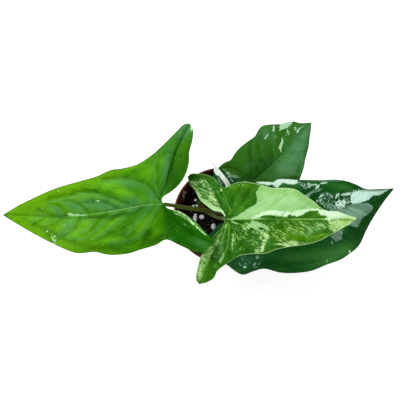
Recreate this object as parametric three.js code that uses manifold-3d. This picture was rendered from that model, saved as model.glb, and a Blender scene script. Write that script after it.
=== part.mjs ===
// A variegated arrowhead plant (Syngonium podophyllum) in a small round nursery pot.
// Millimetres, +Z up. The origin is the centre of the pot's flat base, and +X points from the
// long plain leaf on the left towards the dark leaf on the right.

import * as THREE from 'three';
import { mergeVertices } from 'three/addons/utils/BufferGeometryUtils.js';
import Module from 'manifold-3d';

const wasm = await Module();
wasm.setup();

// ---------------------------------------------------------------- driving dimensions

const GAP = 0.3; // clearance between pieces that touch on the real plant

const POT = {
  height: 70,
  rimRadius: 40,
  lip: 1.6, // width and height of the rolled rim
  collar: 12, // height of the wider band under the rim
  collarSlope: 0.8, // height and width of the step's bevel, and the collar's taper
  neckRadius: 36.5, // under the collar
  baseRadius: 26,
  foot: 0.8, // bevel round the base
  wall: 1.2,
  floor: 1.5,
  sectors: 40,
  drains: { count: 6, radius: 3, circle: 17 },
};

const SOIL = {
  top: 52, // at the wall
  dome: 2.5, // how much higher the middle is
  lump: 1.1, // height of the loose crumbs' waves
  waveX: 0.55, // radians of wave per millimetre
  waveY: 0.47,
  rings: 6,
  sectors: 30,
};

// Coarse grains lying half sunk in the top of the soil: [x, y, length, width].
const PERLITE = [
  [-22, -3.5, 3.4, 7.5],
  [-16.5, -2, 4.6, 4],
  [-6, -10, 4, 6],
  [-21, 13.5, 3.6, 3],
  [-24, 7.5, 5.5, 2.8],
];
const GRAINS = { count: 26, smallest: 1.1, largest: 2.3, fromStem: 7.5, seed: 11 };

const BLADE_THICKNESS = 0.8;
const BLADE_STEPS = { front: 14, lobe: 10, across: 4, inner: 2 };

// A blade is drawn in its own plan: x runs from the leaf stalk to the tip, y to the left, seen
// from above. Each half has its edge from the tip round to the end of its basal lobe, that
// lobe's rib, and its inner edge back from the sinus behind the stalk. `shoulder` is the point
// of the edge that lies across from the stalk. Heights are measured from the stalk's end: rise
// of the tip and of the lobe's end, arch of the midrib, and for each half the slope up from
// the rib (fold), how far it turns down again at the edge (curl) and the edge's waves.
const BLADES = {
  left: {
    at: [-43, 10, 172],
    heading: 184,
    rise: -20,
    arch: 5,
    sinus: [-1, 0.5],
    midrib: [[114, 0], [71.5, 4], [36, 2.5], [12, 0], [0, 0]],
    halves: [
      {
        edge: [[114, 0], [98, 10.5], [88.5, 16], [79, 21], [69.5, 25.5], [60, 29], [48.5, 29],
          [39, 31.5], [26, 31.5], [17.5, 29.5], [6.5, 27], [-0.5, 24], [-9, 28], [-19, 33],
          [-26.5, 33.5], [-31, 29]],
        shoulder: 9,
        rib: [[0, 0], [-2, 4.5], [-6, 9.5], [-12, 15.5], [-20, 22], [-31, 29]],
        inner: [[-2.5, 2.5], [-5, 4], [-10.5, 5.5], [-16, 9], [-20.5, 12.5], [-26.5, 19.5],
          [-31, 25.5], [-31, 29]],
        rise: -2,
        fold: 0.12,
        curl: 0.16,
        innerFold: 0.05,
        wave: { height: 1.4, count: 3.5, phase: 0.2 },
      },
      {
        edge: [[114, 0], [102, -5.5], [90.5, -9.5], [74, -15], [58, -18.5], [43.5, -21.5],
          [33.5, -25], [26, -25.5], [16, -27.5], [6, -33], [-3, -40], [-12, -48],
          [-18.5, -53.5], [-22, -54]],
        shoulder: 7,
        rib: [[0, 0], [1.5, -4], [-1.5, -9.5], [-6, -20.5], [-11, -35], [-22, -54]],
        inner: [[0.5, -2.5], [-1, -5], [-5.5, -7.5], [-11.5, -12], [-16.5, -18.5],
          [-19.5, -26.5], [-20.5, -34.5], [-23, -42], [-24, -49], [-22, -54]],
        rise: -10,
        fold: 0.12,
        curl: 0.16,
        innerFold: 0.1,
        wave: { height: 1.2, count: 3, phase: 0.6 },
      },
    ],
  },
  centre: {
    at: [0, -0.5, 165],
    heading: 0,
    rise: -14,
    arch: 3,
    sinus: [-0.8, 0.2],
    midrib: [[94, 0.5], [66, 0], [30.5, 0], [0, 0]],
    halves: [
      {
        edge: [[94, 0.5], [86.5, 2.5], [79.5, 5], [72.5, 5.5], [67, 7.5], [61.5, 12],
          [55, 16], [48, 20.5], [40.5, 21.5], [32.5, 21.5], [24.5, 23.5], [15, 25.5],
          [7, 25], [2.5, 23], [-0.5, 22], [-4.5, 24.5], [-7.5, 28], [-12, 30.5],
          [-18, 31.5], [-24, 31.5], [-26.5, 29.5]],
        shoulder: 11,
        rib: [[0, 0], [-1.5, 6.5], [-5, 12.5], [-10.5, 18.5], [-18, 25], [-26.5, 29.5]],
        inner: [[-1.2, 2.6], [-3, 4.6], [-8.5, 6], [-13.5, 9.5], [-17.5, 13],
          [-21, 19.5], [-24.5, 23.5], [-26.5, 29.5]],
        rise: -10,
        fold: 0.1,
        curl: 0.14,
        innerFold: -0.1,
        wave: { height: 1.2, count: 4, phase: 0 },
      },
      {
        edge: [[94, 0.5], [88.5, -3.5], [82.5, -6.5], [73.5, -11], [65, -15], [56.5, -17.5],
          [45, -19], [34.5, -21], [27.5, -23.5], [18.5, -24], [10, -25.5], [2, -30.5],
          [-5.5, -36.5], [-8, -42], [-12.5, -45.5], [-18.5, -47.5]],
        shoulder: 9,
        rib: [[0, 0], [-1, -6], [-3.5, -14], [-8, -24.5], [-13.5, -37.5], [-18.5, -47.5]],
        inner: [[-1.2, -3], [-5, -8.5], [-10.5, -14.5], [-13.5, -20], [-17, -26.5],
          [-19.5, -35.5], [-20.5, -44], [-18.5, -47.5]],
        rise: -20,
        fold: 0.1,
        curl: 0.14,
        innerFold: -0.1,
        wave: { height: 1.2, count: 3.5, phase: 0.4 },
      },
    ],
  },
  right: {
    at: [12.5, -2.5, 128],
    heading: 11,
    rise: -12,
    arch: 4,
    sinus: [-1, 0.5],
    midrib: [[121, 1], [104, -4.5], [83.5, -6], [52, -5], [22, -2], [0, 0]],
    halves: [
      {
        edge: [[121, 1], [109.5, 2.5], [98.5, 4.5], [91.5, 9], [84.5, 13], [75.5, 16],
          [63.5, 18], [49.5, 21], [37.5, 24], [21.5, 25], [10.5, 27], [4.5, 31.5],
          [-3, 36], [-8, 41.5], [-12, 40.5]],
        shoulder: 9,
        rib: [[0, 0], [-0.5, 12], [-4.5, 25], [-12, 40.5]],
        inner: [[-1.5, 7], [-4.5, 15], [-10.5, 24], [-14, 32.5], [-12, 40.5]],
        rise: -12,
        fold: 0.02,
        curl: 0.05,
        innerFold: -0.05,
        wave: { height: 1, count: 3, phase: 0.3 },
      },
      {
        edge: [[121, 1], [112, -6], [104, -12], [97, -19], [90.5, -26.5], [83.5, -35],
          [75.5, -39.5], [69, -43.5], [57.5, -45.5], [47, -47.5], [35, -47], [22.5, -44.5],
          [11, -39.5], [3, -40], [-5.5, -40.5], [-10, -37], [-15.5, -30.5], [-25, -26],
          [-32.5, -21.5], [-40, -16]],
        shoulder: 11,
        rib: [[0, 0], [-10, -7], [-22.5, -13], [-40, -16]],
        inner: [[-7.5, 0.5], [-15, 0.5], [-20.5, -3], [-26, -7.5], [-34, -11.5], [-40, -16]],
        rise: -14,
        fold: 0.05,
        curl: 0.16,
        innerFold: -0.05,
        wave: { height: 1.5, count: 4, phase: 0.1 },
      },
    ],
  },
  back: {
    at: [24.5, 27.5, 108],
    heading: 45,
    rise: -4,
    arch: 3,
    sinus: [-1, 0],
    midrib: [[65, 0.5], [55, 0.5], [44, 0], [32, -1], [16.5, -1], [0, 0]],
    halves: [
      {
        edge: [[65, 0.5], [58, 6], [54.5, 11], [49.5, 14.5], [45, 17], [39, 22.5],
          [34.5, 25.5], [30, 25.5], [25, 24], [18.5, 25], [10.5, 26], [4.5, 25.5],
          [-1, 24.5], [-6.5, 26.5], [-13.5, 27]],
        shoulder: 8,
        rib: [[0, 0], [-2, 11.5], [-5.5, 20.5], [-13.5, 27]],
        inner: [[-7, 1.5], [-12.5, 8], [-14.5, 17], [-13.5, 27]],
        rise: -8,
        fold: 0.2,
        curl: 0.14,
        innerFold: -0.05,
        wave: { height: 1, count: 3, phase: 0.5 },
      },
      {
        edge: [[65, 0.5], [59.5, -3], [54, -6.5], [48, -11], [40, -15.5], [32.5, -20],
          [26, -23], [19, -26.5], [10.5, -29], [0, -27.5]],
        shoulder: 6,
        rib: [[0, 0], [-0.5, -9.5], [-1, -19], [0, -27.5]],
        inner: [[-3.5, -6.5], [-5.5, -14.5], [-4.5, -23], [0, -27.5]],
        rise: -6,
        fold: 0.24,
        curl: 0.06,
        innerFold: 0.05,
        wave: { height: 0.8, count: 2, phase: 0 },
      },
    ],
  },
};

// Stems, from their buried foot to their top.
const STEMS = {
  main: { path: [[4.5, -1, 36], [5.4, -0.4, 52], [6, 0, 60], [6, 0.4, 66]], radius: 4.2 },
  side: { path: [[-19.5, 13, 38], [-18, 11, 55], [-16.2, 8.8, 67]], radius: 3 },
};

const STEM = { ringHeight: 0.06, ringCount: 3, taper: 0.1, steps: 8, sides: 10 };

// Leaf stalks, from inside the stem that they sheathe to the blade's underside.
const STALKS = {
  left: {
    stem: 'main',
    path: [[6, 0, 60], [5.6, 0.2, 68], [4.3, 0.8, 84], [1.5, 2.4, 103], [-2.4, 3.2, 118],
      [-7.3, 3.8, 131], [-13.3, 5.1, 141], [-26, 7.1, 156], [-40.5, 9.6, 169.5],
      [-43.5, 9.8, 172.5]],
  },
  centre: {
    stem: 'side',
    path: [[-16.6, 9.3, 63], [-15.8, 8.1, 72], [-12.8, 3.8, 90], [-9, 1.5, 104],
      [-5.4, 0, 116], [-2.7, -0.5, 128], [-0.8, -0.7, 145], [0, -0.5, 160], [0.5, -0.5, 165.5]],
  },
  right: {
    stem: 'main',
    path: [[6, 0, 60], [9.8, -2.6, 66], [12, -3.4, 85], [12.5, -3.2, 108], [12.5, -2.6, 124],
      [12.8, -2.5, 128.5]],
  },
  back: {
    stem: 'main',
    path: [[6, 0, 57], [10.5, 3, 63], [13, 8, 80], [17, 16.5, 96], [23.5, 26.5, 106],
      [24.8, 27.8, 108.5]],
  },
};
const STALK = { foot: 2.1, waist: 1.5, top: 1.3, sheath: 0.35, steps: 14, sides: 8 };

// The rolled new leaf and its stalk share one centre line; the blade takes its upper part.
const NEW_LEAF = {
  path: [[6, 0.5, 58], [6.3, 4.8, 66], [6, 7, 82], [4, 8.5, 103], [1.4, 9, 118],
    [0.6, 12, 131], [1.6, 18.5, 143], [1, 23.5, 151], [-3.8, 30.5, 161.5], [-9.5, 38, 172]],
  bladeFrom: 0.47, // share of the centre line below the rolled blade
  stalkRadius: 1.8,
  bladeRadius: 2.9,
  tipRadius: 0.3,
  overlap: 0.22, // step of the outer turn over the inner one, as a share of the radius
  steps: 18,
  sides: 10,
};

const COLOURS = {
  pot: 0x4d2c24,
  soil: 0x15100c,
  stem: 0x2f5c22,
  stalk: 0x566a20,
  left: 0x5a9a24,
  centre: 0x7fb552,
  right: 0x0f4a1c,
  back: 0x2c6a22,
  new: 0xdde6cf,
};

// ---------------------------------------------------------------- solids and meshes

function toSolid(geometry) {
  const bare = geometry.clone();
  bare.deleteAttribute('normal');
  bare.deleteAttribute('uv');
  const merged = mergeVertices(bare, 1e-3);
  return new wasm.Manifold(new wasm.Mesh({
    numProp: 3,
    vertProperties: new Float32Array(merged.attributes.position.array),
    triVerts: new Uint32Array(merged.index.array),
  }));
}

function toGeometry(solid) {
  const mesh = solid.getMesh();
  const geometry = new THREE.BufferGeometry();
  geometry.setAttribute('position', new THREE.BufferAttribute(mesh.vertProperties, 3));
  geometry.setIndex(new THREE.BufferAttribute(mesh.triVerts, 1));
  return geometry;
}

function meshOf(name, solid, colour, roughness) {
  const geometry = toGeometry(solid).toNonIndexed();
  geometry.computeVertexNormals();
  const material = new THREE.MeshStandardMaterial({ color: colour, roughness, metalness: 0 });
  const mesh = new THREE.Mesh(geometry, material);
  mesh.name = name;
  return mesh;
}

function solidFrom(points, triangles) {
  const geometry = new THREE.BufferGeometry();
  geometry.setAttribute('position', new THREE.Float32BufferAttribute(points.flat(), 3));
  geometry.setIndex(triangles.flat());
  return toSolid(geometry);
}

// Joins rings of the same number of points into one closed body. Seen along the way from the
// first ring to the last, the points run clockwise as on a screw that moves forward.
function skin(rings) {
  const sides = rings[0].length;
  const points = rings.flat();
  const triangles = [];
  for (let k = 0; k + 1 < rings.length; k += 1) {
    for (let i = 0; i < sides; i += 1) {
      const next = (i + 1) % sides;
      const [a, b] = [k * sides + i, k * sides + next];
      const [c, d] = [b + sides, a + sides];
      triangles.push([a, b, c], [a, c, d]);
    }
  }
  const middle = (ring) => [0, 1, 2].map((axis) => (
    ring.reduce((sum, point) => sum + point[axis], 0) / sides));
  const first = points.push(middle(rings[0])) - 1;
  const last = points.push(middle(rings[rings.length - 1])) - 1;
  const lastRing = (rings.length - 1) * sides;
  for (let i = 0; i < sides; i += 1) {
    const next = (i + 1) % sides;
    triangles.push([first, next, i], [last, lastRing + i, lastRing + next]);
  }
  return solidFrom(points, triangles);
}

function vector([x, y, z = 0]) {
  return new THREE.Vector3(x, y, z);
}

// A round limb along a smooth centre line, from share `from` to share `to` of its length.
function limb({ path, radiusAt, steps, sides, from = 0, to = 1 }) {
  const curve = new THREE.CatmullRomCurve3(path.map(vector));
  const frames = curve.computeFrenetFrames(100);
  const rings = [];
  for (let k = 0; k <= steps; k += 1) {
    const along = k / steps;
    const share = from + (to - from) * along;
    const centre = curve.getPointAt(share);
    const frame = Math.round(share * 100);
    const ring = [];
    for (let i = 0; i < sides; i += 1) {
      const turn = i / sides;
      const radius = radiusAt(along, turn);
      const point = centre.clone()
        .addScaledVector(frames.normals[frame], radius * Math.cos(2 * Math.PI * turn))
        .addScaledVector(frames.binormals[frame], radius * Math.sin(2 * Math.PI * turn));
      ring.push(point.toArray());
    }
    rings.push(ring);
  }
  return skin(rings);
}

// A repeatable series of numbers from 0 to 1.
function seeded(seed) {
  let state = seed;
  return () => {
    state = (state * 16807) % 2147483647;
    return state / 2147483647;
  };
}

// ---------------------------------------------------------------- pot

function potInside(z) {
  const share = z / (POT.height - POT.collar);
  return POT.baseRadius - POT.wall + (POT.neckRadius - POT.baseRadius) * share;
}

function makePot() {
  const { height, rimRadius, lip, collar, collarSlope, neckRadius, baseRadius } = POT;
  const { foot, wall, floor } = POT;
  const band = height - collar;
  const collarTop = rimRadius - lip / 2;
  const collarFoot = collarTop - collarSlope / 2;
  const profile = [
    [0, 0],
    [baseRadius - foot, 0],
    [baseRadius, foot],
    [neckRadius, band],
    [collarFoot, band + collarSlope],
    [collarTop, height - 1.6 * lip],
    [rimRadius, height - lip],
    [rimRadius, height - 0.3 * lip],
    [rimRadius - 0.3 * lip, height],
    [rimRadius - 0.9 * lip, height],
    [collarTop - wall, height - lip],
    [collarFoot - wall, band + collarSlope + 0.8 * wall],
    [potInside(band), band + 0.5 * wall],
    [potInside(floor), floor],
    [0, floor],
  ];
  const lathe = new THREE.LatheGeometry(profile.map(([r, z]) => new THREE.Vector2(r, z)), POT.sectors);
  lathe.rotateX(Math.PI / 2);
  let pot = toSolid(lathe);
  const { count, radius, circle } = POT.drains;
  for (let i = 0; i < count; i += 1) {
    const angle = (2 * Math.PI * (i + 0.5)) / count;
    const drain = new THREE.CylinderGeometry(radius, radius, 4 * floor, 12);
    drain.rotateX(Math.PI / 2);
    drain.translate(circle * Math.cos(angle), circle * Math.sin(angle), floor / 2);
    pot = pot.subtract(toSolid(drain));
  }
  return pot;
}

// ---------------------------------------------------------------- soil

// Height of the soil's surface, without its grains.
function soilHeight(x, y) {
  const share = Math.hypot(x, y) / potInside(SOIL.top);
  const waves = Math.sin(SOIL.waveX * x + 1) * Math.cos(SOIL.waveY * y);
  return SOIL.top + SOIL.dome * (1 - share * share) + SOIL.lump * waves * (1 - share ** 4);
}

function makeSoilBody() {
  const rings = [];
  const ringAt = (radius, heightAt) => {
    const ring = [];
    for (let i = 0; i < SOIL.sectors; i += 1) {
      const angle = (2 * Math.PI * i) / SOIL.sectors;
      const [x, y] = [radius * Math.cos(angle), radius * Math.sin(angle)];
      ring.push([x, y, heightAt(x, y)]);
    }
    rings.push(ring);
  };
  const bottom = POT.floor + GAP;
  ringAt(potInside(bottom) - 2 * GAP, () => bottom);
  const outer = potInside(SOIL.top) - 2 * GAP;
  for (let k = 0; k < SOIL.rings; k += 1) {
    ringAt(outer * (1 - k / SOIL.rings), soilHeight);
  }
  return skin(rings);
}

// One faceted grain, half sunk in the soil.
function makeGrain(x, y, length, width, turn) {
  const grain = new THREE.IcosahedronGeometry(0.5, 0);
  grain.scale(length, width, Math.min(length, width));
  grain.rotateZ(turn);
  grain.translate(x, y, soilHeight(x, y) + Math.min(length, width) * 0.12);
  return toSolid(grain);
}

// How far a point of the soil's surface is from the nearest stem, which passes it at path[1].
function distanceToStems(x, y) {
  return Math.min(...Object.values(STEMS).map(({ path: [, [sx, sy]] }) => (
    Math.hypot(x - sx, y - sy))));
}

function makeSoil(stems) {
  let soil = makeSoilBody();
  for (const [x, y, length, width] of PERLITE) {
    soil = soil.add(makeGrain(x, y, length, width, 0));
  }
  const random = seeded(GRAINS.seed);
  const reach = potInside(SOIL.top) - 3;
  for (let i = 0; i < GRAINS.count; i += 1) {
    const radius = reach * Math.sqrt(random());
    const angle = 2 * Math.PI * random();
    const length = 2 * (GRAINS.smallest + (GRAINS.largest - GRAINS.smallest) * random());
    const width = length * (0.6 + 0.3 * random());
    const turn = Math.PI * random();
    const [x, y] = [radius * Math.cos(angle), radius * Math.sin(angle)];
    if (distanceToStems(x, y) > GRAINS.fromStem) {
      soil = soil.add(makeGrain(x, y, length, width, turn));
    }
  }
  for (const stem of Object.values(stems)) {
    soil = soil.subtract(stem.hole);
  }
  return soil;
}

// ---------------------------------------------------------------- stems and stalks

// A stem with the swollen rings that its old leaves left, and the hole that holds it.
function makeStem({ path, radius }) {
  const { ringHeight, ringCount, taper } = STEM;
  const swelling = (along) => ringHeight * Math.cos(along * ringCount * 2 * Math.PI);
  const rings = (along) => radius * (1 + swelling(along) - taper * along);
  const build = (extra) => limb({
    path,
    radiusAt: (along) => rings(along) + extra,
    steps: STEM.steps,
    sides: STEM.sides,
  });
  return { solid: build(0), hole: build(GAP) };
}

function stalkRadius(along) {
  const { foot, waist, top, sheath } = STALK;
  const swelling = Math.max(0, 1 - along / sheath) ** 1.5;
  return waist + (foot - waist) * swelling + (top - waist) * along ** 3;
}

function makeStalk({ path, stem }, stems, blade) {
  const stalk = limb({ path, radiusAt: stalkRadius, steps: STALK.steps, sides: STALK.sides });
  const overBlade = thicken(bladeSheet(blade), -BLADE_THICKNESS / 2 - GAP, 10 * BLADE_THICKNESS);
  return stalk.subtract(stems[stem].hole).subtract(overBlade);
}

// ---------------------------------------------------------------- blades

function planCurve(points) {
  return new THREE.CatmullRomCurve3(points.map(vector));
}

function mix(a, b, share) {
  return a + (b - a) * share;
}

// Rows of a half's front, from the tip to the stalk, and of its lobe, from the stalk to the
// lobe's end. Each row runs from the rib out to the edge.
function outerRows(blade, half) {
  const { front, lobe, across } = BLADE_STEPS;
  const edge = planCurve(half.edge);
  const midrib = planCurve(blade.midrib);
  const rib = planCurve(half.rib);
  const shoulder = half.shoulder / (half.edge.length - 1);
  const rows = [];
  for (let i = 0; i <= front + lobe; i += 1) {
    const back = Math.max(0, (i - front) / lobe);
    const ahead = Math.max(0, 1 - i / front);
    const onRib = back > 0 ? rib.getPoint(back) : midrib.getPoint(1 - ahead);
    const round = back > 0 ? mix(shoulder, 1, back) : shoulder * (1 - ahead);
    const onEdge = edge.getPoint(round);
    const spine = blade.rise * ahead ** 1.5 + blade.arch * Math.sin(Math.PI * ahead)
      + half.rise * back ** 1.3;
    const width = onRib.distanceTo(onEdge);
    const ripple = half.wave.height * Math.sin(Math.PI * round)
      * Math.sin(2 * Math.PI * (half.wave.count * round + half.wave.phase));
    const row = [];
    for (let j = 0; j <= across; j += 1) {
      const share = j / across;
      const height = spine + width * (half.fold * share - half.curl * share * share)
        + ripple * share * share;
      row.push([mix(onRib.x, onEdge.x, share), mix(onRib.y, onEdge.y, share), height]);
    }
    rows.push(row);
  }
  return rows;
}

// Rows of the strip between a lobe's rib and the edge that faces the leaf stalk.
function innerRows(blade, half) {
  const { lobe, inner } = BLADE_STEPS;
  const rib = planCurve(half.rib);
  const edge = planCurve([blade.sinus, ...half.inner]);
  const rows = [];
  for (let i = 0; i <= lobe; i += 1) {
    const back = i / lobe;
    const onRib = rib.getPoint(back);
    const onEdge = edge.getPoint(back);
    const slope = half.innerFold * Math.min(1, 4 * back) * onRib.distanceTo(onEdge);
    const row = [];
    for (let j = 0; j <= inner; j += 1) {
      const share = j / inner;
      const height = half.rise * back ** 1.3 + slope * share;
      row.push([mix(onRib.x, onEdge.x, share), mix(onRib.y, onEdge.y, share), height]);
    }
    rows.push(row);
  }
  return rows;
}

// The blade's middle surface in its place on the plant: points, and triangles that face up.
function bladeSheet(blade) {
  const points = [];
  const triangles = [];
  const known = new Map();
  const heading = THREE.MathUtils.degToRad(blade.heading);
  const [cos, sin] = [Math.cos(heading), Math.sin(heading)];
  const place = ([x, y, z]) => {
    const key = `${x.toFixed(3)} ${y.toFixed(3)}`;
    if (!known.has(key)) {
      const [ax, ay, az] = blade.at;
      known.set(key, points.push([ax + x * cos - y * sin, ay + x * sin + y * cos, az + z]) - 1);
    }
    return known.get(key);
  };
  const addTriangle = (a, b, c) => {
    const [ax, ay] = points[a];
    const [bx, by] = points[b];
    const [cx, cy] = points[c];
    const area = (bx - ax) * (cy - ay) - (cx - ax) * (by - ay);
    if (a !== b && b !== c && c !== a) {
      triangles.push(area > 0 ? [a, b, c] : [a, c, b]);
    }
  };
  const addStrip = (rows) => {
    for (let i = 0; i + 1 < rows.length; i += 1) {
      for (let j = 0; j + 1 < rows[i].length; j += 1) {
        const [a, b] = [place(rows[i][j]), place(rows[i][j + 1])];
        const [c, d] = [place(rows[i + 1][j + 1]), place(rows[i + 1][j])];
        addTriangle(a, b, c);
        addTriangle(a, c, d);
      }
    }
  };
  for (const half of blade.halves) {
    addStrip(outerRows(blade, half));
    addStrip(innerRows(blade, half));
  }
  return { points, triangles };
}

// A closed body between the sheet moved to `low` and the same sheet moved to `high`.
function thicken({ points, triangles }, low, high) {
  const count = points.length;
  const body = points.map(([x, y, z]) => [x, y, z + high])
    .concat(points.map(([x, y, z]) => [x, y, z + low]));
  const faces = [];
  const edges = new Set();
  for (const [a, b, c] of triangles) {
    faces.push([a, b, c], [count + a, count + c, count + b]);
    [[a, b], [b, c], [c, a]].forEach(([from, to]) => edges.add(`${from} ${to}`));
  }
  for (const edge of edges) {
    const [from, to] = edge.split(' ').map(Number);
    if (!edges.has(`${to} ${from}`)) {
      faces.push([from, count + from, count + to], [from, count + to, to]);
    }
  }
  return solidFrom(body, faces);
}

function makeBlade(blade) {
  return thicken(bladeSheet(blade), -BLADE_THICKNESS / 2, BLADE_THICKNESS / 2);
}

// ---------------------------------------------------------------- rolled new leaf

function makeNewStalk(stems) {
  const { path, bladeFrom, stalkRadius: radius, sides } = NEW_LEAF;
  const stalk = limb({ path, radiusAt: () => radius, steps: 8, sides, to: bladeFrom - 0.004 });
  return stalk.subtract(stems.main.hole);
}

// The blade is still rolled round itself: its outer turn steps over the inner one.
function makeNewBlade() {
  const { path, bladeFrom, bladeRadius, tipRadius, overlap, steps, sides } = NEW_LEAF;
  const radiusAt = (along, turn) => {
    const taper = (1 - along ** 4) ** 0.7 * (0.75 + 0.25 * Math.sin(Math.PI * along) ** 0.5);
    return (tipRadius + (bladeRadius - tipRadius) * taper) * (1 - overlap * turn);
  };
  return limb({ path, radiusAt, steps, sides, from: bladeFrom });
}

// ---------------------------------------------------------------- the plant

const stems = { main: makeStem(STEMS.main), side: makeStem(STEMS.side) };
const group = new THREE.Group();

group.add(meshOf('pot', makePot(), COLOURS.pot, 0.55));
group.add(meshOf('soil', makeSoil(stems), COLOURS.soil, 0.95));
group.add(meshOf('stem_main', stems.main.solid, COLOURS.stem, 0.6));
group.add(meshOf('stem_side', stems.side.solid, COLOURS.stem, 0.6));

for (const [side, blade] of Object.entries(BLADES)) {
  const stalk = makeStalk(STALKS[side], stems, blade);
  group.add(meshOf(`petiole_${side}`, stalk, COLOURS.stalk, 0.5));
  group.add(meshOf(`blade_${side}`, makeBlade(blade), COLOURS[side], 0.45));
}

group.add(meshOf('petiole_new', makeNewStalk(stems), COLOURS.stalk, 0.5));
group.add(meshOf('blade_new', makeNewBlade(), COLOURS.new, 0.45));

export default group;
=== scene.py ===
"""A variegated arrowhead plant (Syngonium podophyllum) in a small nursery pot, for rendering.

Lengths are millimetres in the frame of the CAD model. Each leaf's shape is drawn in its own
plan, as in that model: x runs from the leaf stalk to the tip, y to the left, seen from above.
The marks on the leaves are points of a view from straight above, and `Leaf.onto` lays them on
the leaf.
"""

import math

import bmesh
import bpy
import numpy as np
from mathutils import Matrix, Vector


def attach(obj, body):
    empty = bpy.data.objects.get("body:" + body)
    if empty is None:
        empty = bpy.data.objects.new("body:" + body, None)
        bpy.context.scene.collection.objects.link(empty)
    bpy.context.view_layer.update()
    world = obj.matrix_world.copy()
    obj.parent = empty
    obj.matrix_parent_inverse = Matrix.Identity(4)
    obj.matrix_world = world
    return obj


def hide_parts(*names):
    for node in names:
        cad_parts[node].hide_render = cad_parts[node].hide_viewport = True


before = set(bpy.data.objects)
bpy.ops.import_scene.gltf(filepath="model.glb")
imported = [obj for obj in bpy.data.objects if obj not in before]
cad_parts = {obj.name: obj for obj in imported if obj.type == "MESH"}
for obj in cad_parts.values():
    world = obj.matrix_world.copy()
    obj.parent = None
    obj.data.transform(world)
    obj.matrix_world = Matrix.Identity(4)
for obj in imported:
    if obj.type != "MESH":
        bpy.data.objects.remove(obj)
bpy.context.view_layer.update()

MM = 0.001

# ------------------------------------------------------------------ sizes
#
# The pot, soil, stems and stalks have the sizes of the CAD model. The perlite grains and the
# line of the new leaf differ from it a little.

POT = {"height": 70, "rim": 40, "lip": 1.6, "collar": 12, "slope": 0.8, "neck": 36.5,
       "base": 26, "foot": 0.8, "wall": 1.2, "floor": 1.5, "sectors": 144}
DRAINS = {"count": 6, "radius": 3, "circle": 17, "sides": 28}
SCUFFS = [(-31.75, 17, 0.6, 4.2), (-30.3, 19.2, 1.2, 1.1)]  # on the wall inside: x, y, sizes
SOIL = {"top": 52, "dome": 2.5, "lump": 1.1, "wave_x": 0.55, "wave_y": 0.47, "crumb": 0.5,
        "crumb_size": 4.5, "rings": 110, "sectors": 190, "gap": 0.35}
# Large perlite grains: x, y, and their sizes along x and y.
PERLITE = [(-22, -3, 3.7, 7.8), (-16.2, -2, 4.6, 4.2), (-6, -10.4, 4.2, 5.8),
           (-21.4, 12.6, 2.6, 2.4), (-23.6, 7.5, 2.8, 2), (-20.4, 7.8, 2.8, 2.2)]
# Small perlite grains and bark chips: how many places are tried, the least size, how much
# larger it can be, and the room left round a stem.
CRUMBS = {"tries": 46, "least": 0.5, "more": 1.0, "room": 1}
CHIPS = {"tries": 150, "least": 1.6, "more": 3.6, "thick": 1.1, "room": 1.5}
STEMS = {
    "main": {"path": [(4.5, -1, 36), (5.4, -0.4, 52), (6, 0, 60), (6, 0.4, 66)], "radius": 4.2},
    "side": {"path": [(-19.5, 13, 38), (-18, 11, 55), (-16.2, 8.8, 67)], "radius": 3},
}
STALKS = {
    "left": [(6, 0, 60), (5.6, 0.2, 68), (4.3, 0.8, 84), (1.5, 2.4, 103), (-2.4, 3.2, 118),
             (-7.3, 3.8, 131), (-13.3, 5.1, 141), (-26, 7.1, 156), (-40.5, 9.6, 169.5),
             (-43.5, 9.8, 172.5)],
    "centre": [(-16.6, 9.3, 63), (-15.8, 8.1, 72), (-12.8, 3.8, 90), (-9, 1.5, 104),
               (-5.4, 0, 116), (-2.7, -0.5, 128), (-0.8, -0.7, 145), (0, -0.5, 160),
               (0.5, -0.5, 165.5)],
    "right": [(6, 0, 60), (9.8, -2.6, 66), (12, -3.4, 85), (12.5, -3.2, 108),
              (12.5, -2.6, 124), (12.8, -2.5, 128.5)],
    "back": [(6, 0, 57), (10.5, 3, 63), (13, 8, 80), (17, 16.5, 96), (23.5, 26.5, 106),
             (24.8, 27.8, 108.5)],
}
NEW_LEAF = {
    "path": [(6, 0.5, 58), (6.3, 4.8, 66), (6, 7, 82), (4, 8.5, 103), (1.4, 9, 118),
             (0.6, 12, 131), (2.4, 18.5, 143), (2.1, 23.6, 151), (-3.4, 30.6, 161.5),
             (-9.5, 38, 172)],
    "blade_from": 0.47, "stalk": 1.75, "blade": 2.3, "tip": 0.3, "flap": 1.5, "length": 66,
    "turns": 1.45, "tighter": 0.34, "thickness": 0.35, "steps": 110, "rounds": 90,
}
STALK = {"radius": 1.5, "foot": 0.6, "foot_part": 0.35, "thinner": 0.2, "sides": 28}

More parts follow.
